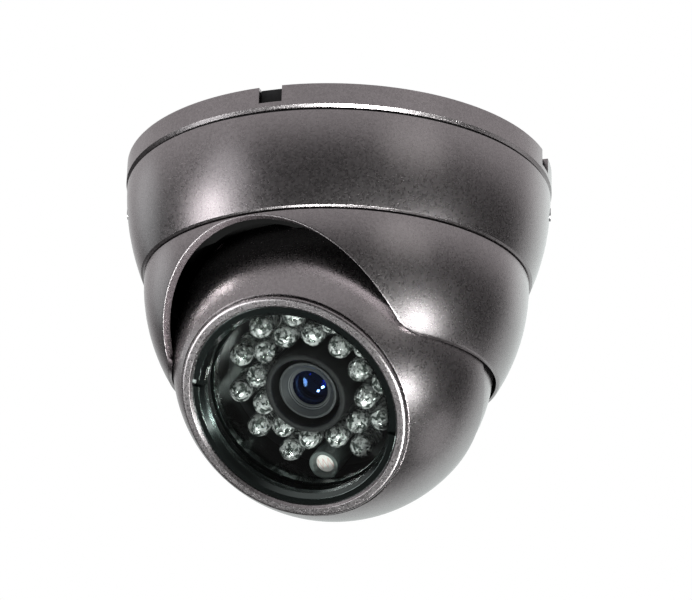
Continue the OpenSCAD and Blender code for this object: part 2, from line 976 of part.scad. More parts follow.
module lens_elements() {
  rear_lens = [0.8, 1.2, 12];
  middle_lens = [4.4, 1.4, 10];
  color(clear)
    in_ball()
      for (lens = [rear_lens, middle_lens])
        lens_disc(lens_back_w + lens[0], lens[1], lens[2]);
}

module lens_lock_nut() {
  color(steel)
    in_ball()
      difference() {
        rod(nut_r, holder_top_w, nut_h, $fn = 6);
        rod(lens_thread_r, holder_top_w - over, nut_h + 2 * over);
      }
}

module lens_holder() {
  chamber = 9;
  color(black)
    in_ball()
      difference() {
        union() {
          translate([-holder_base / 2, -holder_base / 2, main_board_w])
            cube([holder_base, holder_base, holder_base_h]);
          translate([-holder_ear / 2, -holder_ear_w / 2, main_board_w])
            cube([holder_ear, holder_ear_w, holder_base_h / 2]);
          rod(holder_r, main_board_w, holder_top_w - main_board_w);
        }
        translate([-chamber / 2, -chamber / 2, main_board_w - over])
          cube([chamber, chamber, over + holder_base_h / 2]);
        rod(lens_bore_r, main_board_w, holder_base_h + over);
        rod(lens_thread_r, main_board_w + holder_base_h, holder_top_w - main_board_w);
        on_circle([0, 180], holder_screw_r)
          rod(stack_screw_r, main_board_w - over, holder_base_h);
      }
}

module ir_filter() {
  color([0.6, 0.8, 0.85])
    in_ball()
      rod(lens_thread_r, main_board_w + holder_base_h, filter_t);
}

module image_sensor() {
  chip = [8, 7, 1.2];
  color(black)
    in_ball()
      translate([-chip[0] / 2, -chip[1] / 2, main_board_w])
        cube(chip);
}

module main_board() {
  color([0.08, 0.3, 0.16])
    in_ball()
      difference() {
        rod(main_board_r, main_board_w - main_board_t, main_board_t);
        on_circle(stack_az, stack_r)
          rod(stack_screw_r, main_board_w - main_board_t - over, main_board_t + 2 * over);
        on_circle([0, 180], holder_screw_r)
          rod(stack_screw_r, main_board_w - main_board_t - over, main_board_t + 2 * over);
      }
}

module board_spacers() {
  spacer_r = 1.5;
  color(brass)
    in_ball()
      on_circle(stack_az, stack_r)
        tube(spacer_r, stack_screw_r, main_board_w, board_gap);
}

// Screw with its head below height low and its tip at low + len
module rear_screw(low, len) {
  head_r = 1.5;
  head_h = 1.1;
  socket_r = 0.56;
  difference() {
    union() {
      rod(stack_screw_r, low, len);
      rod(head_r, low - head_h, head_h);
    }
    rod(socket_r, low - head_h - over, over + head_h / 2, $fn = 6);
  }
}

module stack_screws() {
  bite = 4;
  color(steel)
    in_ball()
      on_circle(stack_az, stack_r)
        rear_screw(main_board_w - main_board_t, main_board_t + board_gap + led_board_t + bite);
}

module holder_screws() {
  bite = 1.2;
  color(steel)
    in_ball()
      on_circle([0, 180], holder_screw_r)
        rear_screw(main_board_w - main_board_t, main_board_t + bite);
}

// Box on the back of the main board
module on_back(x, y, size) {
  translate([x - size[0] / 2, y - size[1] / 2, main_board_w - main_board_t - size[2]])
    cube(size);
}

module board_chips() {
  can_r = 2;
  can_h = 5.2;
  can_places = [[-14, -6, 0], [14, -6, 0]];
  // Each chip's x, y and size
  processor = [0, 0, [10, 10, 1.2]];
  memory = [-1, 12, [6, 5, 1]];
  regulator = [12, 9, [3.6, 2.6, 1]];
  driver = [-14, 6, [3, 2, 0.8]];
  color(black)
    in_ball() {
      for (chip = [processor, memory, regulator, driver])
        on_back(chip[0], chip[1], chip[2]);
      for (place = can_places)
        translate(place)
          rod(can_r, main_board_w - main_board_t - can_h, can_h);
    }
}

module cable_socket() {
  wall = 0.8;
  socket_y = -13;
  body_size = [12, 4.6, 5];
  color([0.92, 0.9, 0.84])
    in_ball()
      difference() {
        on_back(0, socket_y, body_size);
        translate([0, 0, -wall])
          on_back(0, socket_y, [body_size[0] - 2 * wall, body_size[1] - 2 * wall, body_size[2]]);
      }
}

module pin_header() {
  header = [2.5, 7.6];
  header_az = 60;
  header_r = 16.5;
  color(black)
    in_ball()
      rotate([0, 0, header_az])
        translate([header_r - header[0] / 2, -header[1] / 2, main_board_w])
          cube([header[0], header[1], board_gap]);
}

base_housing();
notch_plugs();
cable_grommet();
cover_ring();
cover_seal();
cover_screws();
pan_friction_ring();
wave_washer();
turret_shell();
swivel_frame();
frame_screws();
pivot_bushes();
eyeball_front();
eyeball_rear();
shell_gasket();
shell_screws();
tilt_washers();
cable_bush();
roll_washer();
module_barrel();
circlip();
window_glass();
window_seal();
retaining_ring();
led_board();
leds_inner();
leds_outer();
led_resistors();
light_sensor();
sensor_shroud();
lens_sleeve();
lens_barrel();
lens_front();
lens_elements();
lens_lock_nut();
lens_holder();
ir_filter();
image_sensor();
main_board();
board_spacers();
stack_screws();
holder_screws();
board_chips();
cable_socket();
pin_header();
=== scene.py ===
# %% [markdown]
# # A ceiling camera with an eyeball
#
# A metal camera for a ceiling: a flat base, a painted cover ring, a turret that turns, an eyeball that
# tilts, and a round camera module behind glass with a lens in a ring of infrared LEDs. The engineering
# model fixes every size and joint. This lesson gives it the surfaces that a hand would feel: rolled edges,
# metallic paint, clear epoxy, coated glass and rubber.

import json
import math

import bmesh
import bpy
import numpy as np
from mathutils import Matrix

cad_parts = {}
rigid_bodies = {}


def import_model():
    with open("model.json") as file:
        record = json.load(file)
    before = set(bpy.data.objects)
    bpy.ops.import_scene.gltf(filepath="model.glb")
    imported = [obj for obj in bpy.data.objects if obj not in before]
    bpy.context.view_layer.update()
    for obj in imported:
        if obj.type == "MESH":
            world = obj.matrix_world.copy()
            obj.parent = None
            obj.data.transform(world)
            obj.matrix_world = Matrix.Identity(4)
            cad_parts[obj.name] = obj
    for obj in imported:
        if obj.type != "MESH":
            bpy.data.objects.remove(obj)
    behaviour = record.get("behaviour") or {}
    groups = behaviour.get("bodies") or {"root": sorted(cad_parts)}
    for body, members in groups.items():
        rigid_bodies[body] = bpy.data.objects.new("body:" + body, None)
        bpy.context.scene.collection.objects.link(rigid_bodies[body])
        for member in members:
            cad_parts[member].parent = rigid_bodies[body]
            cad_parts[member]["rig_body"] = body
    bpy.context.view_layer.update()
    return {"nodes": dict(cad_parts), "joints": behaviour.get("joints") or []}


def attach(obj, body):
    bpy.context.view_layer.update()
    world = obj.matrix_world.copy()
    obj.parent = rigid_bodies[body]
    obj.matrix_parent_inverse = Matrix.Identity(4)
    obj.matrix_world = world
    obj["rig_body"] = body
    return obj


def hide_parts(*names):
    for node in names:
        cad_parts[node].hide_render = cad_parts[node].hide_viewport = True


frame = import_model()
nodes = frame["nodes"]

# %% [markdown]
# ## Two frames of reference
#
# Every size below is in millimetres, as a maker reads it, and becomes metres only when a mesh is made. The
# base, the cover and the turret are turned on the upright axis. The eyeball and the module are turned on the
# lens axis, so their shapes are worked out as radius and height along that axis and then placed. The joints
# in the record say where the axes are, so nothing has to be fitted by eye.

# %% The axes
MM = 0.001
joints = {joint["name"]: joint for joint in frame["joints"]}
ball_centre = np.array(joints["tilt"]["pos_m"]) / MM
lens_axis = np.array(joints["roll"]["axis"], float)
lens_axis /= np.linalg.norm(lens_axis)
across = np.array([1.0, 0.0, 0.0])
upwards = np.cross(lens_axis, across)


def upright(points):
    """Points (x, y, z) in millimetres stay where they are and become metres."""
    return np.asarray(points, float) * MM


def in_ball(points):
    """A point (x, y, w) goes to the ball's centre plus x across, y upwards and w along the lens axis."""
    points = np.asarray(points, float)
    turned = points[..., :1] * across + points[..., 1:2] * upwards + points[..., 2:] * lens_axis
    return (turned + ball_centre) * MM


print("eyeball centre", ball_centre.round(2), "lens axis", lens_axis.round(3))

# %% [markdown]
# ## Meshes from grids
#
# Almost every part of this camera was turned on a lathe or cast in a turned mould. One profile carried round
# an axis gives all of them, and numpy works out the whole grid at once. A raw profile has knife-sharp
# corners that never catch the light, so each corner is first rolled to a small radius.

# %% Rolled corners
SIDE_SHARE = 0.45  # an arc takes at most this much of a side, so two arcs on one side never meet
SUPPORT = 1.15  # a support point stands this many times as far from the corner as the arc's end


def rolled(corners, steps=5):
    """Each corner (r, h, radius) becomes a curve close to an arc of that radius. It starts at a distance
    radius / tan(half the corner's angle) from the corner on one side and ends as far from it on the other,
    as a quadratic Bezier curve with the corner in its middle. A support point beside each end keeps the
    shading flat."""
    corners = [(c[0], c[1], c[2] if len(c) > 2 else 0.0) for c in corners]
    count = len(corners)
    out = []
    t = np.linspace(0, 1, steps)[:, None]
    for i, (r, h, radius) in enumerate(corners):
        here = np.array([r, h])
        if radius <= 0:
            out.append(here[None])
            continue
        before = np.array(corners[i - 1][:2]) - here
        after = np.array(corners[(i + 1) % count][:2]) - here
        one, two = before / np.linalg.norm(before), after / np.linalg.norm(after)
        half = math.acos(max(-1, min(1, float(one @ two)))) / 2
        longest = min(SIDE_SHARE * np.linalg.norm(before), SIDE_SHARE * np.linalg.norm(after))
        reach = min(radius / math.tan(half), longest)
        start, end = here + one * reach, here + two * reach
        arc = (1 - t) ** 2 * start + 2 * t * (1 - t) * here + t**2 * end
        out += [(here + one * reach * SUPPORT)[None], arc, (here + two * reach * SUPPORT)[None]]
    return np.vstack(out)


def arc_rows(centre_r, centre_h, radius, low, high, count):
    """Rows on a circle between two heights: r is the centre's plus the root of radius squared less (h less
    the centre's) squared."""
    h = np.linspace(low, high, count)
    r = centre_r + np.sqrt(radius**2 - (h - centre_h) ** 2)
    return np.column_stack([r, h])


# %% Grids into meshes
def quads_of(rows, columns, close_rows, close_columns):
    """Each cell (i, j) of the grid is the face (i, j), (i, j + 1), (i + 1, j + 1), (i + 1, j), and indices
    past the end wrap round where the grid closes."""
    i = np.arange(rows if close_rows else rows - 1)[:, None]
    j = np.arange(columns if close_columns else columns - 1)[None, :]
    down, along = (i + 1) % rows, (j + 1) % columns
    cells = [i * columns + j, i * columns + along, down * columns + along, down * columns + j]
    return np.stack(cells, axis=-1).reshape(-1, 4)


def mesh_of(name, shapes, sharp_deg=40):
    """Joins shapes, each (points, faces) in metres, into one mesh. Doubled points at poles are merged."""
    offsets = np.cumsum([0] + [len(points) for points, _ in shapes])
    points = np.vstack([points for points, _ in shapes])
    faces = np.vstack([cells + offset for (_, cells), offset in zip(shapes, offsets)])
    mesh = bpy.data.meshes.new(name)
    mesh.vertices.add(len(points))
    mesh.vertices.foreach_set("co", points.ravel())
    mesh.loops.add(faces.size)
    mesh.loops.foreach_set("vertex_index", faces.ravel().astype(np.int32))
    mesh.polygons.add(len(faces))
    mesh.polygons.foreach_set("loop_start", np.arange(len(faces), dtype=np.int32) * faces.shape[1])
    mesh.update(calc_edges=True)
    tidy(mesh, sharp_deg)
    return mesh


SAME_PLACE, NO_LENGTH = 1e-7, 1e-8


def tidy(mesh, sharp_deg):
    """Merges doubled points, drops the cells that this closes, and shades smooth below an angle."""
    work = bmesh.new()
    work.from_mesh(mesh)
    bmesh.ops.remove_doubles(work, verts=work.verts, dist=SAME_PLACE)
    bmesh.ops.dissolve_degenerate(work, edges=work.edges, dist=NO_LENGTH)
    work.to_mesh(mesh)
    work.free()
    mesh.shade_smooth()
    mesh.set_sharp_from_angle(angle=math.radians(sharp_deg))
    mesh.validate()


def lathe(profile, place=upright, segments=160, closed=True, centre=(0, 0)):
    """The profile's point (r, h) at angle a goes to (r cos a, r sin a, h), moved by centre. The profile is
    turned anticlockwise first, which makes the faces point outwards."""
    profile = np.asarray(profile, float)
    r, h = profile.T
    area = np.sum(r * np.roll(h, -1) - np.roll(r, -1) * h)
    if area < 0:
        profile = profile[::-1]
        r, h = profile.T
    a = np.linspace(0, 2 * np.pi, segments, endpoint=False)
    x = r[:, None] * np.cos(a) + centre[0]
    y = r[:, None] * np.sin(a) + centre[1]
    grid = np.stack([x, y, np.broadcast_to(h[:, None], x.shape)], axis=-1)
    return place(grid.reshape(-1, 3)), quads_of(len(profile), segments, closed, True)


def show(name, mesh, body, finish, stands_for=()):
    """One finished piece: an object at the origin with its material, its body and the nodes it stands for."""
    piece = bpy.data.objects.new(name, mesh)
    bpy.context.scene.collection.objects.link(piece)
    mesh.materials.clear()
    mesh.materials.append(finish)
    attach(piece, body)
    if stands_for:
        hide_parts(*stands_for)
    print(f"{name}: {len(mesh.polygons)} faces")
    return piece


def second_finish(mesh, finish, chosen):
    """The faces whose centres, in millimetres, are chosen take a second material."""
    at = np.empty(len(mesh.polygons) * 3)
    mesh.polygons.foreach_get("center", at)
    picked = chosen(at.reshape(-1, 3) / MM)
    mesh.materials.append(finish)
    mesh.polygons.foreach_set("material_index", picked.astype(np.int32))
    print(f"{mesh.name}: {int(picked.sum())} faces in {finish.name}")


def distance_off_axis(at):
    """Distance from the lens axis: the length of what is left without the part along the axis."""
    away = at - ball_centre
    return np.linalg.norm(away - (away @ lens_axis)[:, None] * lens_axis, axis=1)


# %% [markdown]
# ## Cutting with a second shape
#
# A screw hole or a spanner slot is cut after turning, in the workshop and here. The cutter is a small mesh
# that never shows: a Boolean modifier takes it away from the piece, and the result is kept as the mesh.

# %% Cutters
def box_shape(low, high, place=upright, turn_deg=0.0):
    """A box between two corners, turned about the upright axis by an angle, as the six faces of a cube."""
    corner = np.array([[i, j, k] for k in (0, 1) for j in (0, 1) for i in (0, 1)], float)
    points = np.array(low) + corner * (np.array(high) - np.array(low))
    c, s = math.cos(math.radians(turn_deg)), math.sin(math.radians(turn_deg))
    points = points @ np.array([[c, s, 0], [-s, c, 0], [0, 0, 1]])
    faces = np.array([[0, 2, 3, 1], [4, 5, 7, 6], [0, 1, 5, 4], [2, 6, 7, 3], [0, 4, 6, 2], [1, 3, 7, 5]])
    return place(points), faces


def rod_shape(start, direction, radius, length, segments=48, place=upright):
    """A rod: circles of the radius at its start and end, in the plane across its direction, with closed
    ends."""
    along = np.array(direction, float) / np.linalg.norm(direction)
    side = np.cross(along, [0.0, 0.0, 1.0] if abs(along[2]) < 0.9 else [1.0, 0.0, 0.0])
    side /= np.linalg.norm(side)
    other = np.cross(along, side)
    a = np.linspace(0, 2 * np.pi, segments, endpoint=False)
    ring = np.cos(a)[:, None] * side + np.sin(a)[:, None] * other
    rows = [(0.0, 0.0), (radius, 0.0), (radius, length), (0.0, length)]
    points = np.vstack([np.array(start) + ring * r + along * h for r, h in rows])
    return place(points), quads_of(len(rows), segments, False, True)


def cut(mesh, shapes, sharp_deg=40):
    """The mesh less the cutters, through an exact Boolean modifier."""
    body = bpy.data.objects.new("cut_body", mesh)
    tools = [bpy.data.objects.new("cutter", mesh_of("cutter", [shape])) for shape in shapes]
    for thing in [body] + tools:
        bpy.context.scene.collection.objects.link(thing)
    for tool in tools:
        modifier = body.modifiers.new("cut", "BOOLEAN")
        modifier.operation, modifier.solver, modifier.object = "DIFFERENCE", "EXACT", tool
    ready = body.evaluated_get(bpy.context.evaluated_depsgraph_get())
    result = bpy.data.meshes.new_from_object(ready)
    for thing in [body] + tools:
        bpy.data.objects.remove(thing)
    tidy(result, sharp_deg)
    return result


# %% [markdown]
# ## Shader sums written as sums
#
# A finish is a few sums on noise. This class wraps a socket, so that `0.3 + 0.1 * grain` adds its own Math
# nodes, and the second class makes every other node from one line.

# %% Wrapped sockets
class Value:
    """A socket that can be added, subtracted and multiplied."""

    def __init__(self, finish, socket):
        self.finish, self.socket = finish, socket

    def __add__(self, other):
        return self.finish.sum("ADD", self, other)

    def __sub__(self, other):
        return self.finish.sum("SUBTRACT", self, other)

    def __rsub__(self, other):
        return self.finish.sum("SUBTRACT", other, self)

    def __mul__(self, other):
        return self.finish.sum("MULTIPLY", self, other)

    __radd__ = __add__
    __rmul__ = __mul__


class Finish:
    """A material under construction. `node` takes a type, its settings and its sockets' values or links."""

    def __init__(self, name, tree=None):
        if tree is None:
            self.material = bpy.data.materials.new(name)
            self.material.use_nodes = True
            tree = self.material.node_tree
        self.tree = tree
        self.tree.nodes.clear()

    def node(self, kind, settings=None, out=0, **sockets):
        node = self.tree.nodes.new(kind)
        for key, value in (settings or {}).items():
            setattr(node, key, value)
        for key, value in sockets.items():
            place = int(key[1:]) if key[0] == "i" and key[1:].isdigit() else key.replace("_", " ")
            self.feed(node.inputs[place], value)
        return Value(self, node.outputs[out])

    def feed(self, socket, value):
        if isinstance(value, Value):
            self.tree.links.new(value.socket, socket)
        elif isinstance(value, tuple) and len(value) == 3 and socket.type == "RGBA":
            socket.default_value = (*value, 1.0)
        else:
            socket.default_value = value

    def sum(self, operation, one, two):
        return self.node("ShaderNodeMath", {"operation": operation}, i0=one, i1=two)

    def place_mm(self, scale=1.0):
        """Object coordinates in millimetres, times a scale."""
        where = self.node("ShaderNodeTexCoord", out=3)
        return self.node("ShaderNodeMapping", Vector=where, Scale=(scale / MM,) * 3)

    def noise(self, where, scale, detail=3.0, rough=0.5):
        return self.node("ShaderNodeTexNoise", Vector=where, Scale=scale, Detail=detail, Roughness=rough)

    def step(self, value, low, high):
        """0 below low and 1 above high, with a soft rise between them."""
        return self.node("ShaderNodeMapRange", {"interpolation_type": "SMOOTHSTEP"}, Value=value, i1=low,
                         i2=high)

    def dot(self, one, two):
        """How far a vector reaches along a direction."""
        return self.node("ShaderNodeVectorMath", {"operation": "DOT_PRODUCT"}, out=1, i0=one, i1=two)

    def blend(self, mask, one, two):
        """A colour between two colours, by a mask."""
        return self.node("ShaderNodeMix", {"data_type": "RGBA"}, out=2, i0=mask, i6=one, i7=two)

    def bump(self, height, strength, distance_mm):
        return self.node("ShaderNodeBump", Height=height, Strength=strength, Distance=distance_mm * MM)

    def done(self, shader):
        out = self.tree.nodes.new("ShaderNodeOutputMaterial")
        self.tree.links.new(shader.socket, out.inputs[0])
        return self.material


def principled(finish, **sockets):
    """The main shader, with its sockets given by name."""
    return finish.node("ShaderNodeBsdfPrincipled", **sockets)


# %% [markdown]
# ## Metallic paint
#
# The castings are sprayed in a warm gunmetal paint: fine aluminium flake under a satin clear coat. Flake
# shows as a grain where a highlight fades, so it belongs in the slope of the surface as well as in its
# colour. A slower noise stands for the slight unevenness of a sprayed coat.

# %% Gunmetal paint
FLAKE_SCALE, GRAIN_SCALE, CLOUD_SCALE = 3.4, 2.6, 0.09
DARKER, LIGHTER = 0.78, 1.26


def paint(name, colour, rough):
    """Each Voronoi cell is a flake with a tone of its own. The flake and a fine noise tilt the surface, and
    the flake and a slow noise carry the colour between a darker and a lighter tone."""
    finish = Finish(name)
    where = finish.place_mm()
    flake = finish.node("ShaderNodeTexVoronoi", {"feature": "F1"}, out=1, Vector=where, Scale=FLAKE_SCALE)
    speck = finish.node("ShaderNodeSeparateColor", out=0, Color=flake)
    grain = finish.noise(where, GRAIN_SCALE, 2.0)
    cloud = finish.noise(where, CLOUD_SCALE, 2.0)
    tone = 0.55 * speck + 0.45 * cloud
    dark = tuple(c * DARKER for c in colour)
    light = tuple(min(1.0, c * LIGHTER) for c in colour)
    return finish.done(
        principled(
            finish,
            Base_Color=finish.blend(tone, dark, light),
            Metallic=1.0,
            Roughness=rough - 0.03 + 0.06 * speck,
            Coat_Weight=0.12,
            Coat_Roughness=0.25,
            Normal=finish.bump(0.5 * grain + 0.5 * speck, 0.55, 0.018),
        )
    )


gunmetal = paint("gunmetal_paint", (0.37, 0.342, 0.35), 0.29)
print(gunmetal.name)

# %% [markdown]
# ## Rubber, plastic, metal and board
#
# The other solid finishes differ in how they scatter light. Moulded rubber is dull with a faint bloom.
# Spark-eroded plastic has an even fine grain. Anodised metal keeps its turning marks under a deep black.
# Plated steel is bright with a little colour change from the bath. Solder mask is glossy over woven glass.

# %% Small finishes
def plain_stuff(name, colour, metallic, rough, grain_scale, grain_mm, coat=0.0, change=0.12,
                shine=0.5):
    """Two noises: a slow one, mostly, for colour, and a fine one for roughness and bump. shine is how
    strongly a finish that isn't metal mirrors at its surface, and 0.5 is ordinary plastic."""
    finish = Finish(name)
    where = finish.place_mm()
    fine = finish.noise(where, grain_scale, 4.0)
    slow = finish.noise(where, 0.3, 2.0)
    dark = tuple(c * (1 - change) for c in colour)
    light = tuple(min(1.0, c * (1 + change) + 0.002) for c in colour)
    return finish.done(
        principled(
            finish,
            Base_Color=finish.blend(0.4 * fine + 0.6 * slow, dark, light),
            Metallic=metallic,
            Roughness=rough - 0.05 + 0.1 * fine,
            Specular_IOR_Level=shine,
            Coat_Weight=coat,
            Coat_Roughness=0.08,
            Normal=finish.bump(fine, 0.3, grain_mm),
        )
    )


rubber = plain_stuff("moulded_rubber", (0.011, 0.011, 0.012), 0.0, 0.6, 5.0, 0.02, shine=0.3)
# A near-black finish that barely mirrors: partly the dark unpainted inside of the casting, partly painted
# shade that keeps the gap round the eyeball dark whatever the lamps reach.
painted_shade_finish = plain_stuff("painted_shade_black", (0.004, 0.004, 0.004), 0.0, 0.8, 3.0, 0.01, shine=0.08)
nylon = plain_stuff("natural_nylon", (0.72, 0.69, 0.6), 0.0, 0.42, 3.0, 0.01)
grained_plastic = plain_stuff("grained_black_plastic", (0.02, 0.02, 0.022), 0.0, 0.4, 6.0, 0.02)
anodised = plain_stuff("black_anodised_metal", (0.07, 0.09, 0.085), 1.0, 0.18, 4.0, 0.004, coat=1.0)
shroud_grey = plain_stuff("grey_shroud", (0.10, 0.115, 0.112), 0.0, 0.45, 4.0, 0.01)
steel = plain_stuff("plated_steel", (0.55, 0.55, 0.57), 1.0, 0.28, 4.0, 0.006)
brass = plain_stuff("turned_brass", (0.78, 0.58, 0.25), 1.0, 0.25, 4.0, 0.005)
black_mask = plain_stuff("black_solder_mask", (0.012, 0.013, 0.014), 0.0, 0.3, 2.2, 0.01, coat=0.3)
green_mask = plain_stuff("green_solder_mask", (0.02, 0.16, 0.06), 0.0, 0.28, 2.2, 0.01, coat=0.4)
lens_grey = plain_stuff("lens_head_grey", (0.06, 0.062, 0.066), 0.4, 0.4, 5.0, 0.006)
silver = plain_stuff("silvered_lead", (0.9, 0.91, 0.9), 1.0, 0.18, 5.0, 0.006, change=0.05)
print("small finishes:", len(bpy.data.materials))

# %% [markdown]
# ## Clear stuff
#
# The window is flat glass: what matters is that it lets the view through and lays a thin reflection over
# it, so it mixes a clear shader with a mirror by the angle. The LED epoxy is a lens and bends light, but
# light that has to find its way through it onto a small lead frame comes back too dark. So patches of a
# partly silvered shader are mixed into the clear one as painted glints: white and dark specks that stand in
# for the lead frame's reflections seen through the dome. The camera's lens carries a coating that turns its
# reflections blue and violet.

# %% Glass and epoxy
def thin_glass(name, tint, mirror, share, index=1.5):
    """Clear and mirror mixed by the Fresnel share of the angle, times a factor for the coating."""
    finish = Finish(name)
    clear = finish.node("ShaderNodeBsdfTransparent", Color=tint)
    shine = finish.node("ShaderNodeBsdfGlossy", Color=mirror, Roughness=0.02)
    edge = finish.node("ShaderNodeFresnel", IOR=index)
    return finish.done(finish.node("ShaderNodeMixShader", i0=share * edge, i1=clear, i2=shine))


def epoxy_stuff(name, clear_colour, painted_glint_colour, painted_dark_speck_colour):
    """Clear epoxy whose surface wavers, mixed in patches with painted glints: white and dark specks of a
    partly silvered shader that stand in for the reflections of what is cast in it.
    """
    finish = Finish(name)
    where = finish.place_mm()
    wave = finish.noise(where, 0.55, 2.0, 0.6)
    patch = finish.noise(where, 0.8, 2.0, 0.6)
    share = finish.step(patch, 0.42, 0.56)
    glint = finish.noise(where, 0.9, 2.0, 0.6)
    spot = finish.step(glint, 0.44, 0.54)
    clear = principled(finish, Base_Color=clear_colour, Roughness=0.02, IOR=1.5, Transmission_Weight=1.0,
                       Normal=finish.bump(wave, 0.5, 0.2))
    # Painted glints: the base colour's white and dark specks stand in for the lead frame's reflections seen
    # through the dome.
    painted_glints = principled(finish, Base_Color=finish.blend(spot, painted_dark_speck_colour, painted_glint_colour), Roughness=0.16,
                      Metallic=0.4, Coat_Weight=1.0, Coat_Roughness=0.02, Normal=finish.bump(wave, 1.0, 0.9))
    return finish.done(finish.node("ShaderNodeMixShader", i0=0.45 + 0.45 * share, i1=clear, i2=painted_glints))


window_finish = thin_glass("window_glass", (0.97, 0.99, 0.98), (1.0, 1.0, 1.0), 1.0)
lens_finish = thin_glass("coated_lens", (0.7, 0.75, 0.95), (0.2, 0.4, 1.0), 4.5)
violet_finish = thin_glass("inner_lens", (0.7, 0.7, 0.85), (0.6, 0.3, 0.95), 3.0)
epoxy = epoxy_stuff("clear_epoxy", (0.97, 1.0, 0.985), (1.0, 1.0, 1.0), (0.1, 0.12, 0.11))
print("clear finishes made")

# %% [markdown]
# ## The base
#
# A die-cast dish that screws to the ceiling, with a lip that shows all round, cable notches in the lip and
# bosses for the screws. Rubber plugs close the notches. The shapes come from the frame's own meshes: a
# merged copy gets its sharp edges rolled by a Bevel modifier, as tumbling rolls a casting's edges before it
# is painted. A Weighted Normal modifier then lets the large faces set the shading, so that the flat floor
# doesn't show its triangles.

# %% A merged copy with rolled edges
def softened(name, node, finish, edge_mm=0.0, sharp_deg=30):
    source = nodes[node]
    mesh = source.data.copy()
    mesh.transform(source.matrix_world)
    tidy(mesh, sharp_deg)
    piece = show(name, mesh, source["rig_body"], finish, (node,))
    if edge_mm:
        bevel = piece.modifiers.new("rolled edges", "BEVEL")
        bevel.width, bevel.segments = edge_mm * MM, 2
        bevel.limit_method, bevel.angle_limit = "ANGLE", math.radians(sharp_deg)
        bevel.use_clamp_overlap, bevel.harden_normals = True, True
        even = piece.modifiers.new("even shading", "WEIGHTED_NORMAL")
        even.keep_sharp = True
    return piece


softened("ceiling_base", "base_housing", gunmetal, 0.13)
softened("cable_notch_plugs", "notch_plugs", rubber, 0.35)

# %% [markdown]
# ## The cover ring
#
# A spun ring that hides the turret's bearing. Its side bulges a little between its top and its foot, and a
# small bevel at the foot catches a bright line. Two set screws hold it, one on each side.

# %% Cover ring
TOP_Z, FOOT_Z = -5.8, -25.7
TOP_R, FOOT_R = 46.75, 42.6
BULGE, COVER_WALL = 1.0, 2.0
chord = math.hypot(TOP_R - FOOT_R, TOP_Z - FOOT_Z)
side_radius = chord**2 / (8 * BULGE) + BULGE / 2
side_r = (TOP_R + FOOT_R) / 2 - (side_radius - BULGE) * (TOP_Z - FOOT_Z) / chord
side_z = (TOP_Z + FOOT_Z) / 2 + (side_radius - BULGE) * (TOP_R - FOOT_R) / chord
LIP_TOP_Z, LIP_R, BORE_R, BORE_END_Z = -23.9, 39.5, 44.5, -13.2
CHAMFER_H, CHAMFER_W = 0.28, 0.3

outside = arc_rows(side_r, side_z, side_radius, TOP_Z - 0.35, FOOT_Z + 0.75, 26)
inside = arc_rows(side_r, side_z, side_radius - COVER_WALL, LIP_TOP_Z, BORE_END_Z, 12)
foot_out = arc_rows(side_r, side_z, side_radius, FOOT_Z + CHAMFER_H, FOOT_Z + CHAMFER_H, 1)[0]
foot = rolled([outside[-1], (*foot_out, 0.1), (FOOT_R - CHAMFER_W, FOOT_Z, 0.1), (LIP_R, FOOT_Z, 0.2),
               (LIP_R, LIP_TOP_Z, 0.2), inside[0]])
top = rolled([inside[-1], (BORE_R, BORE_END_Z), (BORE_R, TOP_Z - 0.6), (BORE_R + 0.4, TOP_Z, 0.1),
              (TOP_R, TOP_Z, 0.3), outside[0]])
cover_profile = np.vstack([outside, foot[1:-1], inside, top[1:-1]])
screw_azimuths, screw_z, screw_r = (115, 295), -9.2, 1.62
hole_start_r, hole_length = 42, 8
screw_holes = []
for azimuth in screw_azimuths:
    a = math.radians(azimuth)
    outward = np.array([math.sin(a), -math.cos(a), 0.0])
    start = outward * hole_start_r + [0, 0, screw_z]
    screw_holes.append(rod_shape(start, outward, screw_r, hole_length))
cover_mesh = cut(mesh_of("cover", [lathe(cover_profile, segments=240)]), screw_holes, 30)
show("cover", cover_mesh, "base", gunmetal, ("cover_ring",))

# %% [markdown]
# ## The turret
#
# A domed shell that turns under the cover, with an arch at the front for the eyeball. The arch is cut
# straight through from the front, and its feet are rounded into the level rim. A lathe can't make this
# edge, so here the grid's columns stand at fixed azimuths and their lower ends follow the edge, which puts
# a row of faces exactly along the arch and lets a small rolled edge run round it. The inside takes a near
# black finish with almost no shine: partly the dark unpainted casting, partly painted shade that keeps the
# gap round the eyeball dark.

# %% Turret sizes
TURRET_R, TURRET_Z, TURRET_WALL = 42.0, -26.5, 2.0
SHOULDER_Z, SHOULDER_T, FRAME_Z = -26.0, 2.2, -23.4
NECK_R, NECK_IN_R = 39.2, 37.4
RIM_Z = ball_centre[2] - 5.3
CLEAR_R = 35.35
ARCH_R, ARCH_Z, ARCH_ROUND, ARCH_LAP = 28.6, -54.9, 3.0, 0.03
foot_centre_z = RIM_Z + ARCH_ROUND - ARCH_LAP
foot_centre_x = math.sqrt((ARCH_R + ARCH_ROUND - ARCH_LAP) ** 2 - (foot_centre_z - ARCH_Z) ** 2)
EDGE = 0.32
ARCH_COLUMNS, FOOT_COLUMNS, RIM_COLUMNS = 64, 14, 64
CATCH_UP = 0.35  # radians past the foot over which the inside's columns catch up with the outside's


def outer_r(z):
    """Radius of the shell's outside: a sphere of radius TURRET_R round (0, 0, TURRET_Z)."""
    return np.sqrt(TURRET_R**2 - (z - TURRET_Z) ** 2)


def inner_r(z):
    """Radius of the shell's inside: a sphere one wall smaller, opened to clear the eyeball near the rim."""
    shell = np.sqrt(np.maximum((TURRET_R - TURRET_WALL) ** 2 - (z - TURRET_Z) ** 2, 0))
    ball = np.sqrt(np.maximum(CLEAR_R**2 - (z - ball_centre[2]) ** 2, 0))
    return np.maximum(shell, ball)


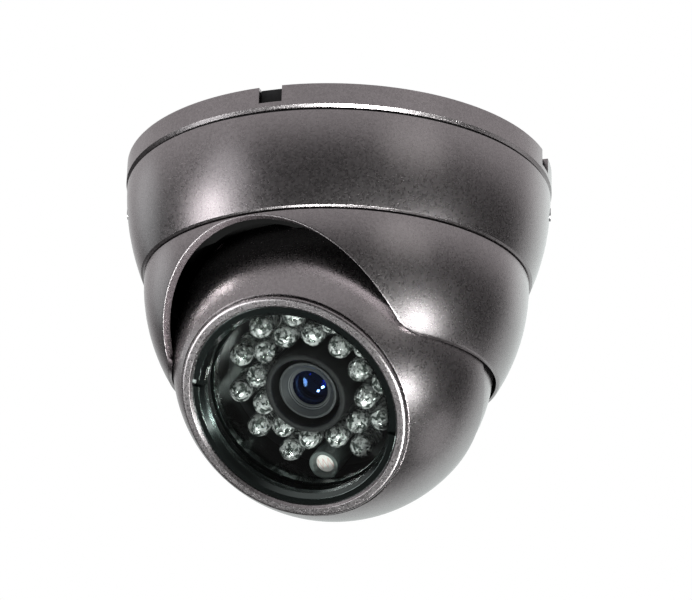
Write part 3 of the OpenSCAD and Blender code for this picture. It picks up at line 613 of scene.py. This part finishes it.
# %% The arch's edge
def arch_edge(arch_columns, foot_columns, rim_columns):
    """Half of the edge seen from the front, from the crown of the arch to the back of the rim. On the arch,
    x = ARCH_R sin a and z = ARCH_Z + ARCH_R cos a. On its foot the same holds on a circle of radius
    ARCH_ROUND that bends the other way. Past the foot the edge is level. Returns x, z, the direction away
    from the opening, and the azimuth."""
    meet = math.atan2(foot_centre_x, foot_centre_z - ARCH_Z)
    a = np.linspace(0, meet, arch_columns)
    arch = [ARCH_R * np.sin(a), ARCH_Z + ARCH_R * np.cos(a), np.sin(a), np.cos(a)]
    b = np.linspace(0, 1, foot_columns + 1)[1:]
    turn = (math.pi + meet) * (1 - b) + math.pi * b
    foot = [foot_centre_x + ARCH_ROUND * np.sin(turn), foot_centre_z + ARCH_ROUND * np.cos(turn),
            -np.sin(turn), -np.cos(turn)]
    x, z, out_x, out_z = (np.concatenate(pair) for pair in zip(arch, foot))
    azimuth = np.arcsin(x / outer_r(z))
    rest = np.linspace(azimuth[-1], math.pi, rim_columns + 1)[1:]
    level = np.full(rim_columns, RIM_Z)
    x = np.concatenate([x, outer_r(level) * np.sin(rest)])
    z = np.concatenate([z, level])
    out_x = np.concatenate([out_x, np.zeros(rim_columns)])
    out_z = np.concatenate([out_z, np.ones(rim_columns)])
    return x, z, out_x, out_z, np.concatenate([azimuth, rest])


def on_sphere(points, radius):
    """Each point moved onto the sphere of that radius round the turret's centre."""
    centre = np.array([0, 0, TURRET_Z])
    away = points - centre
    return centre + away / np.linalg.norm(away, axis=-1, keepdims=True) * radius


# %% Turret shell
def turret_half():
    """Columns of points from the neck's top outside, down to the edge, round it, and up inside."""
    x, z, out_x, out_z, azimuth = arch_edge(ARCH_COLUMNS, FOOT_COLUMNS, RIM_COLUMNS)
    front = azimuth < math.asin(min(1.0, foot_centre_x / outer_r(RIM_Z))) + 1e-6
    outer = np.stack([outer_r(z) * np.sin(azimuth), -outer_r(z) * np.cos(azimuth), z], -1)
    lean = np.clip((azimuth - azimuth[front][-1]) / CATCH_UP, 0, 1)
    straight = np.arcsin(np.clip(x / inner_r(z), -1, 1))
    last = straight[front][-1] - azimuth[front][-1]
    azimuth_in = np.where(front, straight, azimuth + last * (1 - lean) ** 2)
    inner = np.stack([inner_r(z) * np.sin(azimuth_in), -inner_r(z) * np.cos(azimuth_in), z], -1)
    away = np.stack([out_x, np.zeros_like(out_x), out_z], -1)
    normal = outer - np.array([0, 0, TURRET_Z])
    normal /= np.linalg.norm(normal, axis=1, keepdims=True)
    along = away - (away * normal).sum(1, keepdims=True) * normal
    along /= np.linalg.norm(along, axis=1, keepdims=True)
    room = np.clip((SHOULDER_Z - z) * 0.4, 0.05, EDGE)[:, None]
    start = on_sphere(outer + along * room, TURRET_R)
    wall = np.linalg.norm(inner - outer, axis=1, keepdims=True)
    through = (inner - outer) / wall
    end = outer + through * np.minimum(room, wall * 0.4)
    rows = []
    top_azimuth = np.arctan2(start[:, 0], -start[:, 1])
    spin = np.stack([np.sin(top_azimuth), -np.cos(top_azimuth)], -1)

    def ring(radius, height):
        return np.column_stack([spin * radius, np.full(len(spin), height)])

    shoulder_r = float(outer_r(SHOULDER_Z))
    rows += [ring(NECK_R, FRAME_Z), ring(NECK_R, SHOULDER_Z + 0.1), ring(NECK_R + 0.1, SHOULDER_Z)]
    rows += [ring(shoulder_r - 0.2, SHOULDER_Z), ring(shoulder_r - 0.06, SHOULDER_Z - 0.01)]
    crest = start.copy()
    crest[:, 2] = np.maximum(SHOULDER_Z - 0.08, start[:, 2])
    for t in 1 - np.linspace(0, 1, 26):
        height = start[:, 2] + (crest[:, 2] - start[:, 2]) * t
        rows.append(np.column_stack([spin * outer_r(height)[:, None], height]))
    for t in np.linspace(0, 1, 7)[1:]:
        rows.append((1 - t) ** 2 * start + 2 * t * (1 - t) * outer + t**2 * end)
    for t in (0.34, 0.67):
        rows.append(end * (1 - t) + inner * t)
    rows.append(inner)
    spin_in = np.stack([np.sin(azimuth_in), -np.cos(azimuth_in)], -1)
    roof = np.maximum(z, SHOULDER_Z - SHOULDER_T)
    for t in np.linspace(0, 1, 12)[1:]:
        height = z + (roof - z) * t
        inwards = inner_r(z) + (NECK_IN_R + 0.4 - inner_r(z)) * t
        radius = np.where(z < roof - 1e-6, inner_r(height), inwards)
        rows.append(np.column_stack([spin_in * radius[:, None], height]))
    rows.append(np.column_stack([spin_in * NECK_IN_R, roof]))
    rows.append(np.column_stack([spin_in * NECK_IN_R, np.full(len(z), FRAME_Z)]))
    return np.stack(rows)


def turret_shape():
    """The half grid and its mirror image, joined at the crown and at the back."""
    half = turret_half()
    other = half[:, -2:0:-1] * np.array([-1, 1, 1])
    grid = np.concatenate([half, other], axis=1)
    faces = quads_of(grid.shape[0], grid.shape[1], True, True)[:, ::-1]
    return upright(grid.reshape(-1, 3)), faces


turret_mesh = mesh_of("turret", [turret_shape()], 40)
show("turret", turret_mesh, "turret", gunmetal, ("turret_shell",))
# Painted shade: the faces inside the shell's wall, and those near the eyeball, take the near-black finish.
inner_sphere, clear_sphere = TURRET_R - TURRET_WALL + 0.15, CLEAR_R + 0.05
second_finish(turret_mesh, painted_shade_finish, lambda at: (
    (np.linalg.norm(at - [0, 0, TURRET_Z], axis=1) < inner_sphere)
    | (np.linalg.norm(at - ball_centre, axis=1) < clear_sphere)))

# %% [markdown]
# ## The eyeball
#
# Two cast shells meet at a seam a little in front of the tilt studs. The front one carries the mouth for the
# module and is turned here with a rolled edge at the mouth and at the seam. Round pockets for the tilt
# studs are cut into its edge. The rear one keeps the frame's shape, with its studs, bosses and cable hole.

# %% Front shell
BALL_R, BALL_WALL, SEAM_W = 35.0, 2.0, 2.2
SEAM_IN_R, SEAM_OUT_R, HOLLOW_END_W = 32.93, 34.93, 19.9
MOUTH_R, MOUTH_FLOOR, MOUTH_W = 25.55, 22.87, 23.92
COLLAR_IN, COLLAR_OUT, COLLAR_W = 24.06, 26.26, 17.2
STUD_POCKET_X, STUD_POCKET_R = 33.4, 3.2
ball_rows = arc_rows(0, 0, BALL_R, SEAM_W + 0.3, MOUTH_W - 0.3, 40)
hollow_rows = arc_rows(0, 0, BALL_R - BALL_WALL, HOLLOW_END_W, SEAM_W + 0.2, 24)
mouth = rolled([ball_rows[-1], (MOUTH_R + 0.03, MOUTH_W - 0.02, 0.22), (MOUTH_R, MOUTH_FLOOR, 0.05),
                (COLLAR_IN, MOUTH_FLOOR, 0.1), (COLLAR_IN, COLLAR_W), (COLLAR_OUT, COLLAR_W),
                (COLLAR_OUT, HOLLOW_END_W), hollow_rows[0]])
seam = rolled([hollow_rows[-1], (SEAM_IN_R, SEAM_W, 0.1), (SEAM_OUT_R, SEAM_W, 0.2), ball_rows[0]])
front_profile = np.vstack([ball_rows, mouth[1:-1], hollow_rows, seam[1:-1]])
pockets = [rod_shape((side * STUD_POCKET_X, 0, 0), (side, 0, 0), STUD_POCKET_R, 4, place=in_ball)
           for side in (-1, 1)]
front_mesh = cut(mesh_of("eyeball", [lathe(front_profile, in_ball, 220)]), pockets, 30)
show("eyeball", front_mesh, "eyeball", gunmetal, ("eyeball_front",))

# %% Rear shell
softened("eyeball_back", "eyeball_rear", gunmetal)

# %% [markdown]
# ## The module's barrel and bezel
#
# The barrel turns inside the eyeball, and its flange is the painted bezel that frames the glass. The rim of
# the bezel is fully rounded, which gives the bright ring, and a narrow lead-in leads to the thread.

# %% Barrel
BEZEL_R, BEZEL_BACK, BEZEL_FRONT, BEZEL_ROUND = 25.3, 22.92, 24.87, 0.75
BEZEL_IN_R, THREAD_R, LEDGE_R = 23.4, 22.9, 20.0
WINDOW_W, LEDGE_W, BARREL_R, BARREL_IN_R = 19.37, 17.37, 24.0, 21.6
BOARD_W, GROOVE_W, GROOVE_T, GROOVE_R = 7.57, 15.85, 0.9, 23.3
SEAL_OUT_R, SEAL_IN_R, SEAL_W = 22.1, 20.9, WINDOW_W - 1
barrel_profile = rolled([
    (BEZEL_R, BEZEL_BACK, 0.1), (BEZEL_R, BEZEL_FRONT, BEZEL_ROUND), (BEZEL_IN_R, BEZEL_FRONT, 0.12),
    (THREAD_R, BEZEL_FRONT - 0.5, 0.1), (THREAD_R, WINDOW_W), (SEAL_OUT_R, WINDOW_W), (SEAL_OUT_R, SEAL_W),
    (SEAL_IN_R, SEAL_W), (SEAL_IN_R, WINDOW_W), (LEDGE_R, WINDOW_W, 0.1), (LEDGE_R, LEDGE_W, 0.2),
    (BARREL_IN_R, LEDGE_W), (BARREL_IN_R, BOARD_W, 0.1), (BARREL_R, BOARD_W, 0.2),
    (BARREL_R, GROOVE_W), (GROOVE_R, GROOVE_W), (GROOVE_R, GROOVE_W + GROOVE_T),
    (BARREL_R, GROOVE_W + GROOVE_T), (BARREL_R, BEZEL_BACK),
], 7)
barrel_mesh = mesh_of("bezel", [lathe(barrel_profile, in_ball, 220)])
show("bezel", barrel_mesh, "module", gunmetal, ("module_barrel",))
second_finish(barrel_mesh, anodised, lambda at: distance_off_axis(at) < THREAD_R - 0.1)

# %% [markdown]
# ## The retaining ring
#
# A black anodised ring screws in over the glass. Its bore is left with the fine steps of the turning tool,
# and two slots take a pin spanner.

# %% Retaining ring
RING_LOW, RING_TOP, RING_IN_R = 21.57, 24.07, 20.6
SLOT_W, SLOT_DEPTH, SLOT_DEG, SLOT_R, SLOT_REACH = 1.7, 1.5, 157, 22, 3
step_count, step_depth, step_start, step_pitch = 4, 0.16, 0.15, 0.36
bore_steps = []
for i in range(step_count):
    low = RING_LOW + step_start + i * step_pitch
    bore_steps += [(RING_IN_R, low + 0.05), (RING_IN_R + step_depth, low + 0.18), (RING_IN_R, low + 0.31)]
ring_profile = rolled(
    [(THREAD_R, RING_TOP, 0.12), (THREAD_R, RING_LOW), (RING_IN_R, RING_LOW)] + bore_steps
    + [(RING_IN_R, RING_TOP - 0.9, 0.1), (RING_IN_R + 0.9, RING_TOP, 0.1)]
)
slots = [box_shape((side * SLOT_R - SLOT_REACH, -SLOT_W / 2, RING_TOP - SLOT_DEPTH / 2),
                   (side * SLOT_R + SLOT_REACH, SLOT_W / 2, RING_TOP + 1), in_ball, SLOT_DEG)
         for side in (-1, 1)]
ring_mesh = cut(mesh_of("ring", [lathe(ring_profile, in_ball, 200)]), slots, 30)
show("glass_ring", ring_mesh, "module", anodised, ("retaining_ring",))

# %% [markdown]
# ## The window
#
# A flat disc of toughened glass with its edges ground to a small chamfer.

# %% Window
WINDOW_R, WINDOW_TOP = 22.3, 21.57
window_profile = rolled([(0, WINDOW_W + 0.02), (WINDOW_R, WINDOW_W + 0.02, 0.25),
                         (WINDOW_R, WINDOW_TOP - 0.02, 0.25), (0, WINDOW_TOP - 0.02)], 3)
window_mesh = mesh_of("window", [lathe(window_profile, in_ball, 128, closed=False)], 60)
show("window", window_mesh, "module", window_finish, ("window_glass",))

# %% [markdown]
# ## The infrared LEDs
#
# Each LED is a bullet of water-clear epoxy cast round a lead frame. Behind the dome stands a silvered anvil
# with a tiny cup that holds the chip, and a second post with the bond wire. The dome magnifies them, which
# is why an unlit LED glitters. All bodies of a circle are one piece, and all lead frames another.

# %% One LED
LED_R, LED_FLANGE_R, LED_FLANGE_H, LED_H = 2.5, 2.7, 1.0, 8.7


def led_body(segments=40):
    """A bullet: flange, straight side, and a dome whose radius is LED_R, turned round its own axis. On the
    flange x stops short on one side, which is the flat that marks the cathode."""
    dome_h = LED_H - LED_R
    a = np.linspace(0, np.pi / 2, 14)
    dome = np.column_stack([LED_R * np.cos(a), dome_h + LED_R * np.sin(a)])
    side = rolled([(0, 0.02), (LED_FLANGE_R, 0.02, 0.1), (LED_FLANGE_R, LED_FLANGE_H, 0.15),
                   (LED_R, LED_FLANGE_H, 0.12), (LED_R, dome_h * 0.98), (0, dome_h)], 4)[:-2]
    points, faces = lathe(np.vstack([side, dome]), lambda p: p, segments, closed=False)
    points[:, 0] = np.minimum(points[:, 0], np.where(points[:, 2] < LED_FLANGE_H * 1.2, LED_R, 9))
    return points, faces


def swept_bar(path, half_width, half_depth):
    """A bar whose section is a rounded rectangle, a superellipse of power four, carried straight up a path
    of (x, y, z, scale), with closed ends."""
    path = np.asarray(path, float)
    a = np.linspace(0, 2 * np.pi, 12, endpoint=False)
    power = 0.5
    sx = np.sign(np.cos(a)) * np.abs(np.cos(a)) ** power * half_width
    sy = np.sign(np.sin(a)) * np.abs(np.sin(a)) ** power * half_depth
    rows = np.vstack([[*path[0, :3], 0], path, [*path[-1, :3], 0]])
    grid = np.stack([rows[:, 0, None] + sx * rows[:, 3, None], rows[:, 1, None] + sy * rows[:, 3, None],
                     np.broadcast_to(rows[:, 2, None], (len(rows), len(a)))], -1)
    return grid.reshape(-1, 3), quads_of(len(rows), len(a), False, True)


def led_frame():
    """Anvil with a cup, post and bond wire, in the LED's own axes."""
    anvil_path = [(-0.2, 0, 0.2, 0.5), (-0.2, 0, 2.4, 0.5), (-0.1, 0, 2.9, 1), (0, 0, 4.3, 1)]
    anvil = swept_bar(anvil_path, 0.95, 0.3)
    cup = lathe(rolled([(0.35, 4.05), (0.75, 4.05, 0.1), (0.95, 5.15), (0.85, 5.15), (0.4, 4.4), (0, 4.38),
                        (0, 4.05)], 3)[:-1], lambda p: p, 20, closed=False)
    post_path = [(1.35, 0, 0.2, 0.7), (1.35, 0, 3.6, 0.7), (1.3, 0, 3.9, 1), (1.3, 0, 4.9, 1)]
    post = swept_bar(post_path, 0.33, 0.3)
    t = np.linspace(0, 1, 9)
    wire = swept_bar(np.column_stack([1.25 * (1 - t), 0 * t, 4.85 + 0.9 * np.sin(np.pi * t) - 0.3 * t,
                                      np.ones(9)]), 0.05, 0.05)
    return [anvil, cup, post, wire]


# %% Circles of LEDs
IN_R, IN_PHASE, OUT_R, OUT_PHASE, PLACES, SENSOR_PLACE = 12.3, 9.6, 16.65, -5.4, 12, 9


def led_circle(radius, phase_deg, skip=()):
    """Each LED's own points turned about its axis by an uneven angle and moved to its place."""
    bodies, leads = [], []
    parts = [("body", led_body())] + [("lead", shape) for shape in led_frame()]
    for k in (i for i in range(PLACES) if i not in skip):
        angle = math.radians(phase_deg + 360 / PLACES * k)
        spin = angle + math.radians(37 * k % 90)
        c, s = math.cos(spin), math.sin(spin)
        turn = np.array([[c, s, 0], [-s, c, 0], [0, 0, 1]])
        move = np.array([radius * math.cos(angle), radius * math.sin(angle), BOARD_W])
        for kind, (points, faces) in parts:
            (bodies if kind == "body" else leads).append((in_ball(points @ turn + move), faces))
    return bodies, leads


for where, node, circle in (("inner", "leds_inner", led_circle(IN_R, IN_PHASE)),
                            ("outer", "leds_outer", led_circle(OUT_R, OUT_PHASE, (SENSOR_PLACE,)))):
    show(f"{where}_led_bodies", mesh_of(f"{where}_leds", circle[0]), "module", epoxy, (node,))
    show(f"{where}_led_leads", mesh_of(f"{where}_leads", circle[1]), "module", silver)

# %% [markdown]
# ## The light sensor
#
# A light-dependent resistor: a pale glazed disc with a folded red track, sunk in a rubber shroud so that
# the LEDs don't shine on it. The track is printed flat, so it is a colour: a triangle wave across the disc.

# %% Sensor disc and shroud
sensor_angle = math.radians(OUT_PHASE + 360 / PLACES * SENSOR_PLACE)
SENSOR_R, SHROUD_R, DISC_R = 17.1, 3.3, 2.15
sensor_at = np.array([SENSOR_R * math.cos(sensor_angle), SENSOR_R * math.sin(sensor_angle)])
DISC_TOP, SHROUD_TOP = BOARD_W + 8.4, BOARD_W + 9.4
FOLD_MM, FOLD_SLOPE, TRACK_HALF_MM = 0.6, 3.4, 0.32


def sensor_finish():
    """Colour by the disc's own axes: the distance, up or down the disc, from a zigzag line. The line runs
    across the disc while a triangle wave carries it up and down."""
    finish = Finish("sensor_disc")
    where = finish.place_mm()
    middle = in_ball(np.array([[*sensor_at, DISC_TOP]]))[0] / MM
    local = finish.node("ShaderNodeVectorMath", {"operation": "SUBTRACT"}, i0=where, i1=tuple(middle))
    u = finish.dot(local, tuple(across))
    v = finish.dot(local, tuple(upwards))
    swing = finish.node("ShaderNodeMath", {"operation": "PINGPONG"}, i0=u + 8.0, i1=FOLD_MM)
    line = finish.node("ShaderNodeMath", {"operation": "ABSOLUTE"}, i0=v - (swing * FOLD_SLOPE - 1.0))
    track = finish.node("ShaderNodeMath", {"operation": "LESS_THAN"}, i0=line, i1=TRACK_HALF_MM)
    mist = finish.noise(where, 1.5, 3.0)
    ground = finish.blend(mist, (0.93, 0.86, 0.84), (0.98, 0.94, 0.93))
    return finish.done(
        principled(
            finish,
            Base_Color=finish.blend(track * 0.45, ground, (0.75, 0.2, 0.16)),
            Roughness=0.16 + 0.08 * mist,
            Coat_Weight=0.6,
            Coat_Roughness=0.05,
        )
    )


DISC_SIDE_R, DISC_BACK = DISC_R - 0.02, BOARD_W + 0.1
disc_profile = rolled([(0, DISC_BACK), (DISC_SIDE_R, DISC_BACK), (DISC_SIDE_R, DISC_TOP - 0.1, 0.3),
                       (1.0, DISC_TOP), (0, DISC_TOP)])
show("sensor_disc", mesh_of("disc", [lathe(disc_profile, in_ball, 64, False, sensor_at)]), "module",
     sensor_finish(), ("light_sensor",))
shroud_profile = rolled([(SHROUD_R, BOARD_W), (SHROUD_R, SHROUD_TOP, 0.3), (DISC_R + 0.35, SHROUD_TOP, 0.2),
                         (DISC_R, SHROUD_TOP - 0.8), (DISC_R, BOARD_W)])
show("sensor_shroud_ring", mesh_of("shroud", [lathe(shroud_profile, in_ball, 64, True, sensor_at)]), "module",
     shroud_grey, ("sensor_shroud",))

# %% [markdown]
# ## The lens
#
# A small board lens in a rubber sleeve that keeps the LEDs' light off it. The head's front is a cone with
# two small steps near its bottom, and the domed glass sits there.

# %% Sleeve, head and glass
SLEEVE_R, SLEEVE_IN_R, SLEEVE_TOP = 9.1, 7.7, BOARD_W + 10
HEAD_R, HEAD_TOP, HEAD_H, LENS_BACK = 6.5, BOARD_W + 8.4, 5.5, BOARD_W - 8.1
LENS_THREAD_R, LENS_BORE_R, EYE_R, CONE_H = 5.9, 4.5, 3.9, 1.6
sleeve_profile = rolled([(SLEEVE_R, BOARD_W), (SLEEVE_R, SLEEVE_TOP, 0.6), (SLEEVE_IN_R, SLEEVE_TOP, 0.5),
                         (SLEEVE_IN_R, BOARD_W)])
show("lens_shade", mesh_of("shade", [lathe(sleeve_profile, in_ball, 96)]), "module",
     rubber, ("lens_sleeve",))
cone_out = HEAD_R - 0.5
cone = [(5.0, HEAD_TOP - 0.85, 0.06), (4.85, HEAD_TOP - 1.05, 0.05), (4.6, HEAD_TOP - 1.1, 0.05),
        (4.5, HEAD_TOP - 1.3, 0.05), (4.2, HEAD_TOP - 1.35, 0.05), (EYE_R, HEAD_TOP - CONE_H, 0.04)]
head_profile = rolled([(LENS_THREAD_R, LENS_BACK), (LENS_THREAD_R, HEAD_TOP - HEAD_H),
                       (HEAD_R, HEAD_TOP - HEAD_H, 0.15), (HEAD_R, HEAD_TOP, 0.2), (cone_out, HEAD_TOP, 0.1)]
                      + cone + [(LENS_BORE_R, HEAD_TOP - CONE_H - 0.02), (LENS_BORE_R, LENS_BACK)], 4)
show("lens_head", mesh_of("head", [lathe(head_profile, in_ball, 96)], 30), "module",
     lens_grey, ("lens_barrel",))
GLASS_LOW, GLASS_DOME_R, GLASS_APEX = HEAD_TOP - CONE_H - 2.4, 7.5, HEAD_TOP - 0.89
a = np.linspace(math.asin(EYE_R / GLASS_DOME_R), 0, 14)
dome = np.column_stack([GLASS_DOME_R * np.sin(a), GLASS_APEX - GLASS_DOME_R * (1 - np.cos(a))])
glass_profile = np.vstack([[(0, GLASS_LOW), (LENS_BORE_R, GLASS_LOW), (LENS_BORE_R, dome[0, 1])], dome])
show("front_lens", mesh_of("front_lens", [lathe(glass_profile, in_ball, 64, False)], 30), "module",
     lens_finish, ("lens_front",))

# %% [markdown]
# ## Carried-over parts
#
# Everything else keeps its shape from the frame and takes a finish by the material slot in the record,
# except the swivel frame, which takes the near-black painted shade instead of its plastic.

# %% Finishes for the frame's own parts
finish_of_slot = {
    "body_paint": gunmetal, "black_rubber": rubber, "screw_steel": steel, "natural_nylon": nylon,
    "black_plastic": grained_plastic, "black_metal": anodised, "window_glass": window_finish,
    "lens_glass": violet_finish, "led_epoxy": epoxy, "black_board": black_mask,
    "green_board": green_mask, "sensor_ceramic": nylon, "brass": brass,
}
slot_of_node = {name: next((m.name for m in nodes[name].data.materials if m), "") for name in nodes}
kept = [name for name in nodes if not nodes[name].hide_render]
# Painted shade: the swivel frame takes the near-black finish in place of its plastic, so that it stays dark
# in the gap round the eyeball.
painted_shade_parts = ("swivel_frame",)  # lies in the dark behind the gap round the eyeball
for name in kept:
    mesh = nodes[name].data
    slot_name = next((s for s in finish_of_slot if slot_of_node[name].startswith(s)), "black_plastic")
    mesh.materials.clear()
    mesh.materials.append(painted_shade_finish if name in painted_shade_parts else finish_of_slot[slot_name])
    print(name, slot_of_node[name], "->", slot_name)

# %% [markdown]
# ## The studio
#
# Satin paint shows its room. White paper behind the part gives the pale rims at the outline, a large soft
# box low on each side gives the two broad highlights, each with a small strong bulb for its core, and the
# dark room in front gives the black between them. Fainter fills lift the sides and the back, and a lamp and
# three small spots from below reach the LEDs and the eyeball's underside. The floor is plain and pale, far
# below, because the part hangs and is looked up at, and it stays out of the reflections.

# %% Floor and room
FLOOR_Z, FLOOR_HALF = -1.3, 12.0
floor_mesh = bpy.data.meshes.new("floor")
floor_mesh.from_pydata([(sx * FLOOR_HALF, sy * FLOOR_HALF, FLOOR_Z) for sx, sy in
                        ((-1, -1), (1, -1), (1, 1), (-1, 1))], [], [(0, 1, 2, 3)])
floor = bpy.data.objects.new("floor", floor_mesh)
bpy.context.scene.collection.objects.link(floor)
floor_mesh.materials.append(plain_stuff("pale_floor", (0.8, 0.8, 0.8), 0.0, 0.8, 0.002, 0.1, change=0.02))
floor.visible_glossy = False


def room():
    """The light from a direction: 0.035 everywhere, plus 0.85 where it points past the part to the far side,
    plus 0.5 where it points well above the horizon. Rays straight from the eye see plain white paper."""
    world = bpy.data.worlds.new("studio")
    bpy.context.scene.world = world
    world.use_nodes = True
    sky = Finish("studio", world.node_tree)
    where = sky.node("ShaderNodeTexCoord", out=0)
    far = sky.dot(where, (-0.2, 0.98, 0.0))
    high = sky.node("ShaderNodeSeparateXYZ", out=2, Vector=where)
    paper = sky.step(far, 0.6, 1.0)
    above = sky.step(high, 0.06, 0.38)
    level = 0.035 + 0.5 * above + 0.85 * paper
    colour = sky.blend(paper, (1.0, 0.97, 0.98), (0.93, 1.0, 0.98))
    lit = sky.node("ShaderNodeBackground", Color=colour, Strength=level)
    seen = sky.node("ShaderNodeBackground", Color=(1.0, 1.0, 1.0), Strength=1.0)
    eye = sky.node("ShaderNodeLightPath", out=0)
    both = sky.node("ShaderNodeMixShader", i0=eye, i1=lit, i2=seen)
    out = sky.tree.nodes.new("ShaderNodeOutputWorld")
    sky.tree.links.new(both.socket, out.inputs[0])


room()

# %% Soft boxes
def aimed(azimuth_deg, elevation_deg, distance, aim=(0, 0, -0.04)):
    """A place at that azimuth from -Y towards +X and that elevation, with its -Z axis towards aim."""
    az, el = math.radians(azimuth_deg), math.radians(elevation_deg)
    back = np.array([math.sin(az) * math.cos(el), -math.cos(az) * math.cos(el), math.sin(el)])
    right = np.array([math.cos(az), math.sin(az), 0.0])
    up = np.cross(back, right)
    placed = np.eye(4)
    placed[:3, 0], placed[:3, 1], placed[:3, 2] = right, up, back
    placed[:3, 3] = np.array(aim) + back * distance
    return Matrix(placed.tolist())


def soft_box(name, azimuth, elevation, distance, width, height, radiance, colour=(1, 1, 1)):
    """An area lamp. Its power is radiance times pi times its area."""
    lamp = bpy.data.lights.new(name, "AREA")
    lamp.shape, lamp.size, lamp.size_y = "ELLIPSE", width, height
    lamp.energy = radiance * math.pi * width * height * math.pi / 4
    lamp.color = colour
    thing = bpy.data.objects.new(name, lamp)
    bpy.context.scene.collection.objects.link(thing)
    thing.matrix_world = aimed(azimuth, elevation, distance)
    thing.visible_camera = False


soft_box("left_box", -47, -9, 1.0, 0.5, 0.34, 2.2, (1.0, 0.97, 0.99))
soft_box("left_bulb", -44, -7, 1.0, 0.1, 0.08, 6, (1.0, 0.97, 0.99))
soft_box("left_fill", -33, 1, 1.1, 0.5, 0.45, 0.9, (0.98, 0.98, 1.0))
soft_box("side_fill", -95, 12, 1.1, 0.5, 0.4, 0.5, (0.93, 1.0, 1.0))
soft_box("right_fill", 66, 10, 1.2, 0.75, 0.4, 0.45, (1.0, 0.99, 0.97))
soft_box("under_fill", 140, -30, 1.2, 0.6, 0.5, 0.5)
soft_box("right_box", 87, -29, 1.0, 0.5, 0.26, 3.7, (0.98, 1.0, 0.99))
soft_box("right_bulb", 86, -28, 1.0, 0.08, 0.06, 30, (0.98, 1.0, 0.99))
soft_box("lens_light", -47, -30, 0.8, 0.4, 0.34, 6, (0.97, 1.0, 1.0))
for i, (azimuth, elevation, radiance) in enumerate(((36, -62, 110), (-8, -74, 60), (60, -47, 90))):
    soft_box(f"low_spot_{i}", azimuth, elevation, 0.8, 0.12, 0.12, radiance, (0.97, 1.0, 0.98))

# %% [markdown]
# ## The camera that looks at it
#
# It stands below and in front of the part, a little to its right, with a long lens, because the verticals
# hardly converge.

# %% Viewer
AZIMUTH, ELEVATION, ROLL, DISTANCE = 28.113, -21.509, 1.471, 612.703
AIM, ASIDE, ALOFT = np.array([0, 0, -25.0]), 2.055, -4.280
FOCAL, SENSOR = 145.68, 36.0
viewer = bpy.data.cameras.new("viewer")
viewer.lens, viewer.sensor_width, viewer.sensor_fit = FOCAL, SENSOR, "HORIZONTAL"
viewer.clip_start, viewer.clip_end = 0.01, 50.0
viewer_object = bpy.data.objects.new("viewer", viewer)
bpy.context.scene.collection.objects.link(viewer_object)
level = np.array(aimed(AZIMUTH, ELEVATION, 1.0))
roll = math.radians(ROLL)
right = math.cos(roll) * level[:3, 0] + math.sin(roll) * level[:3, 1]
up = math.cos(roll) * level[:3, 1] - math.sin(roll) * level[:3, 0]
stand = (AIM + ASIDE * right + ALOFT * up + DISTANCE * level[:3, 2]) * MM
placed = np.eye(4)
placed[:3, 0], placed[:3, 1], placed[:3, 2], placed[:3, 3] = right, up, level[:3, 2], stand
viewer_object.matrix_world = Matrix(placed.tolist())
bpy.context.scene.camera = viewer_object
bpy.context.scene.view_settings.view_transform = "Standard"
print("viewer at", stand.round(4))
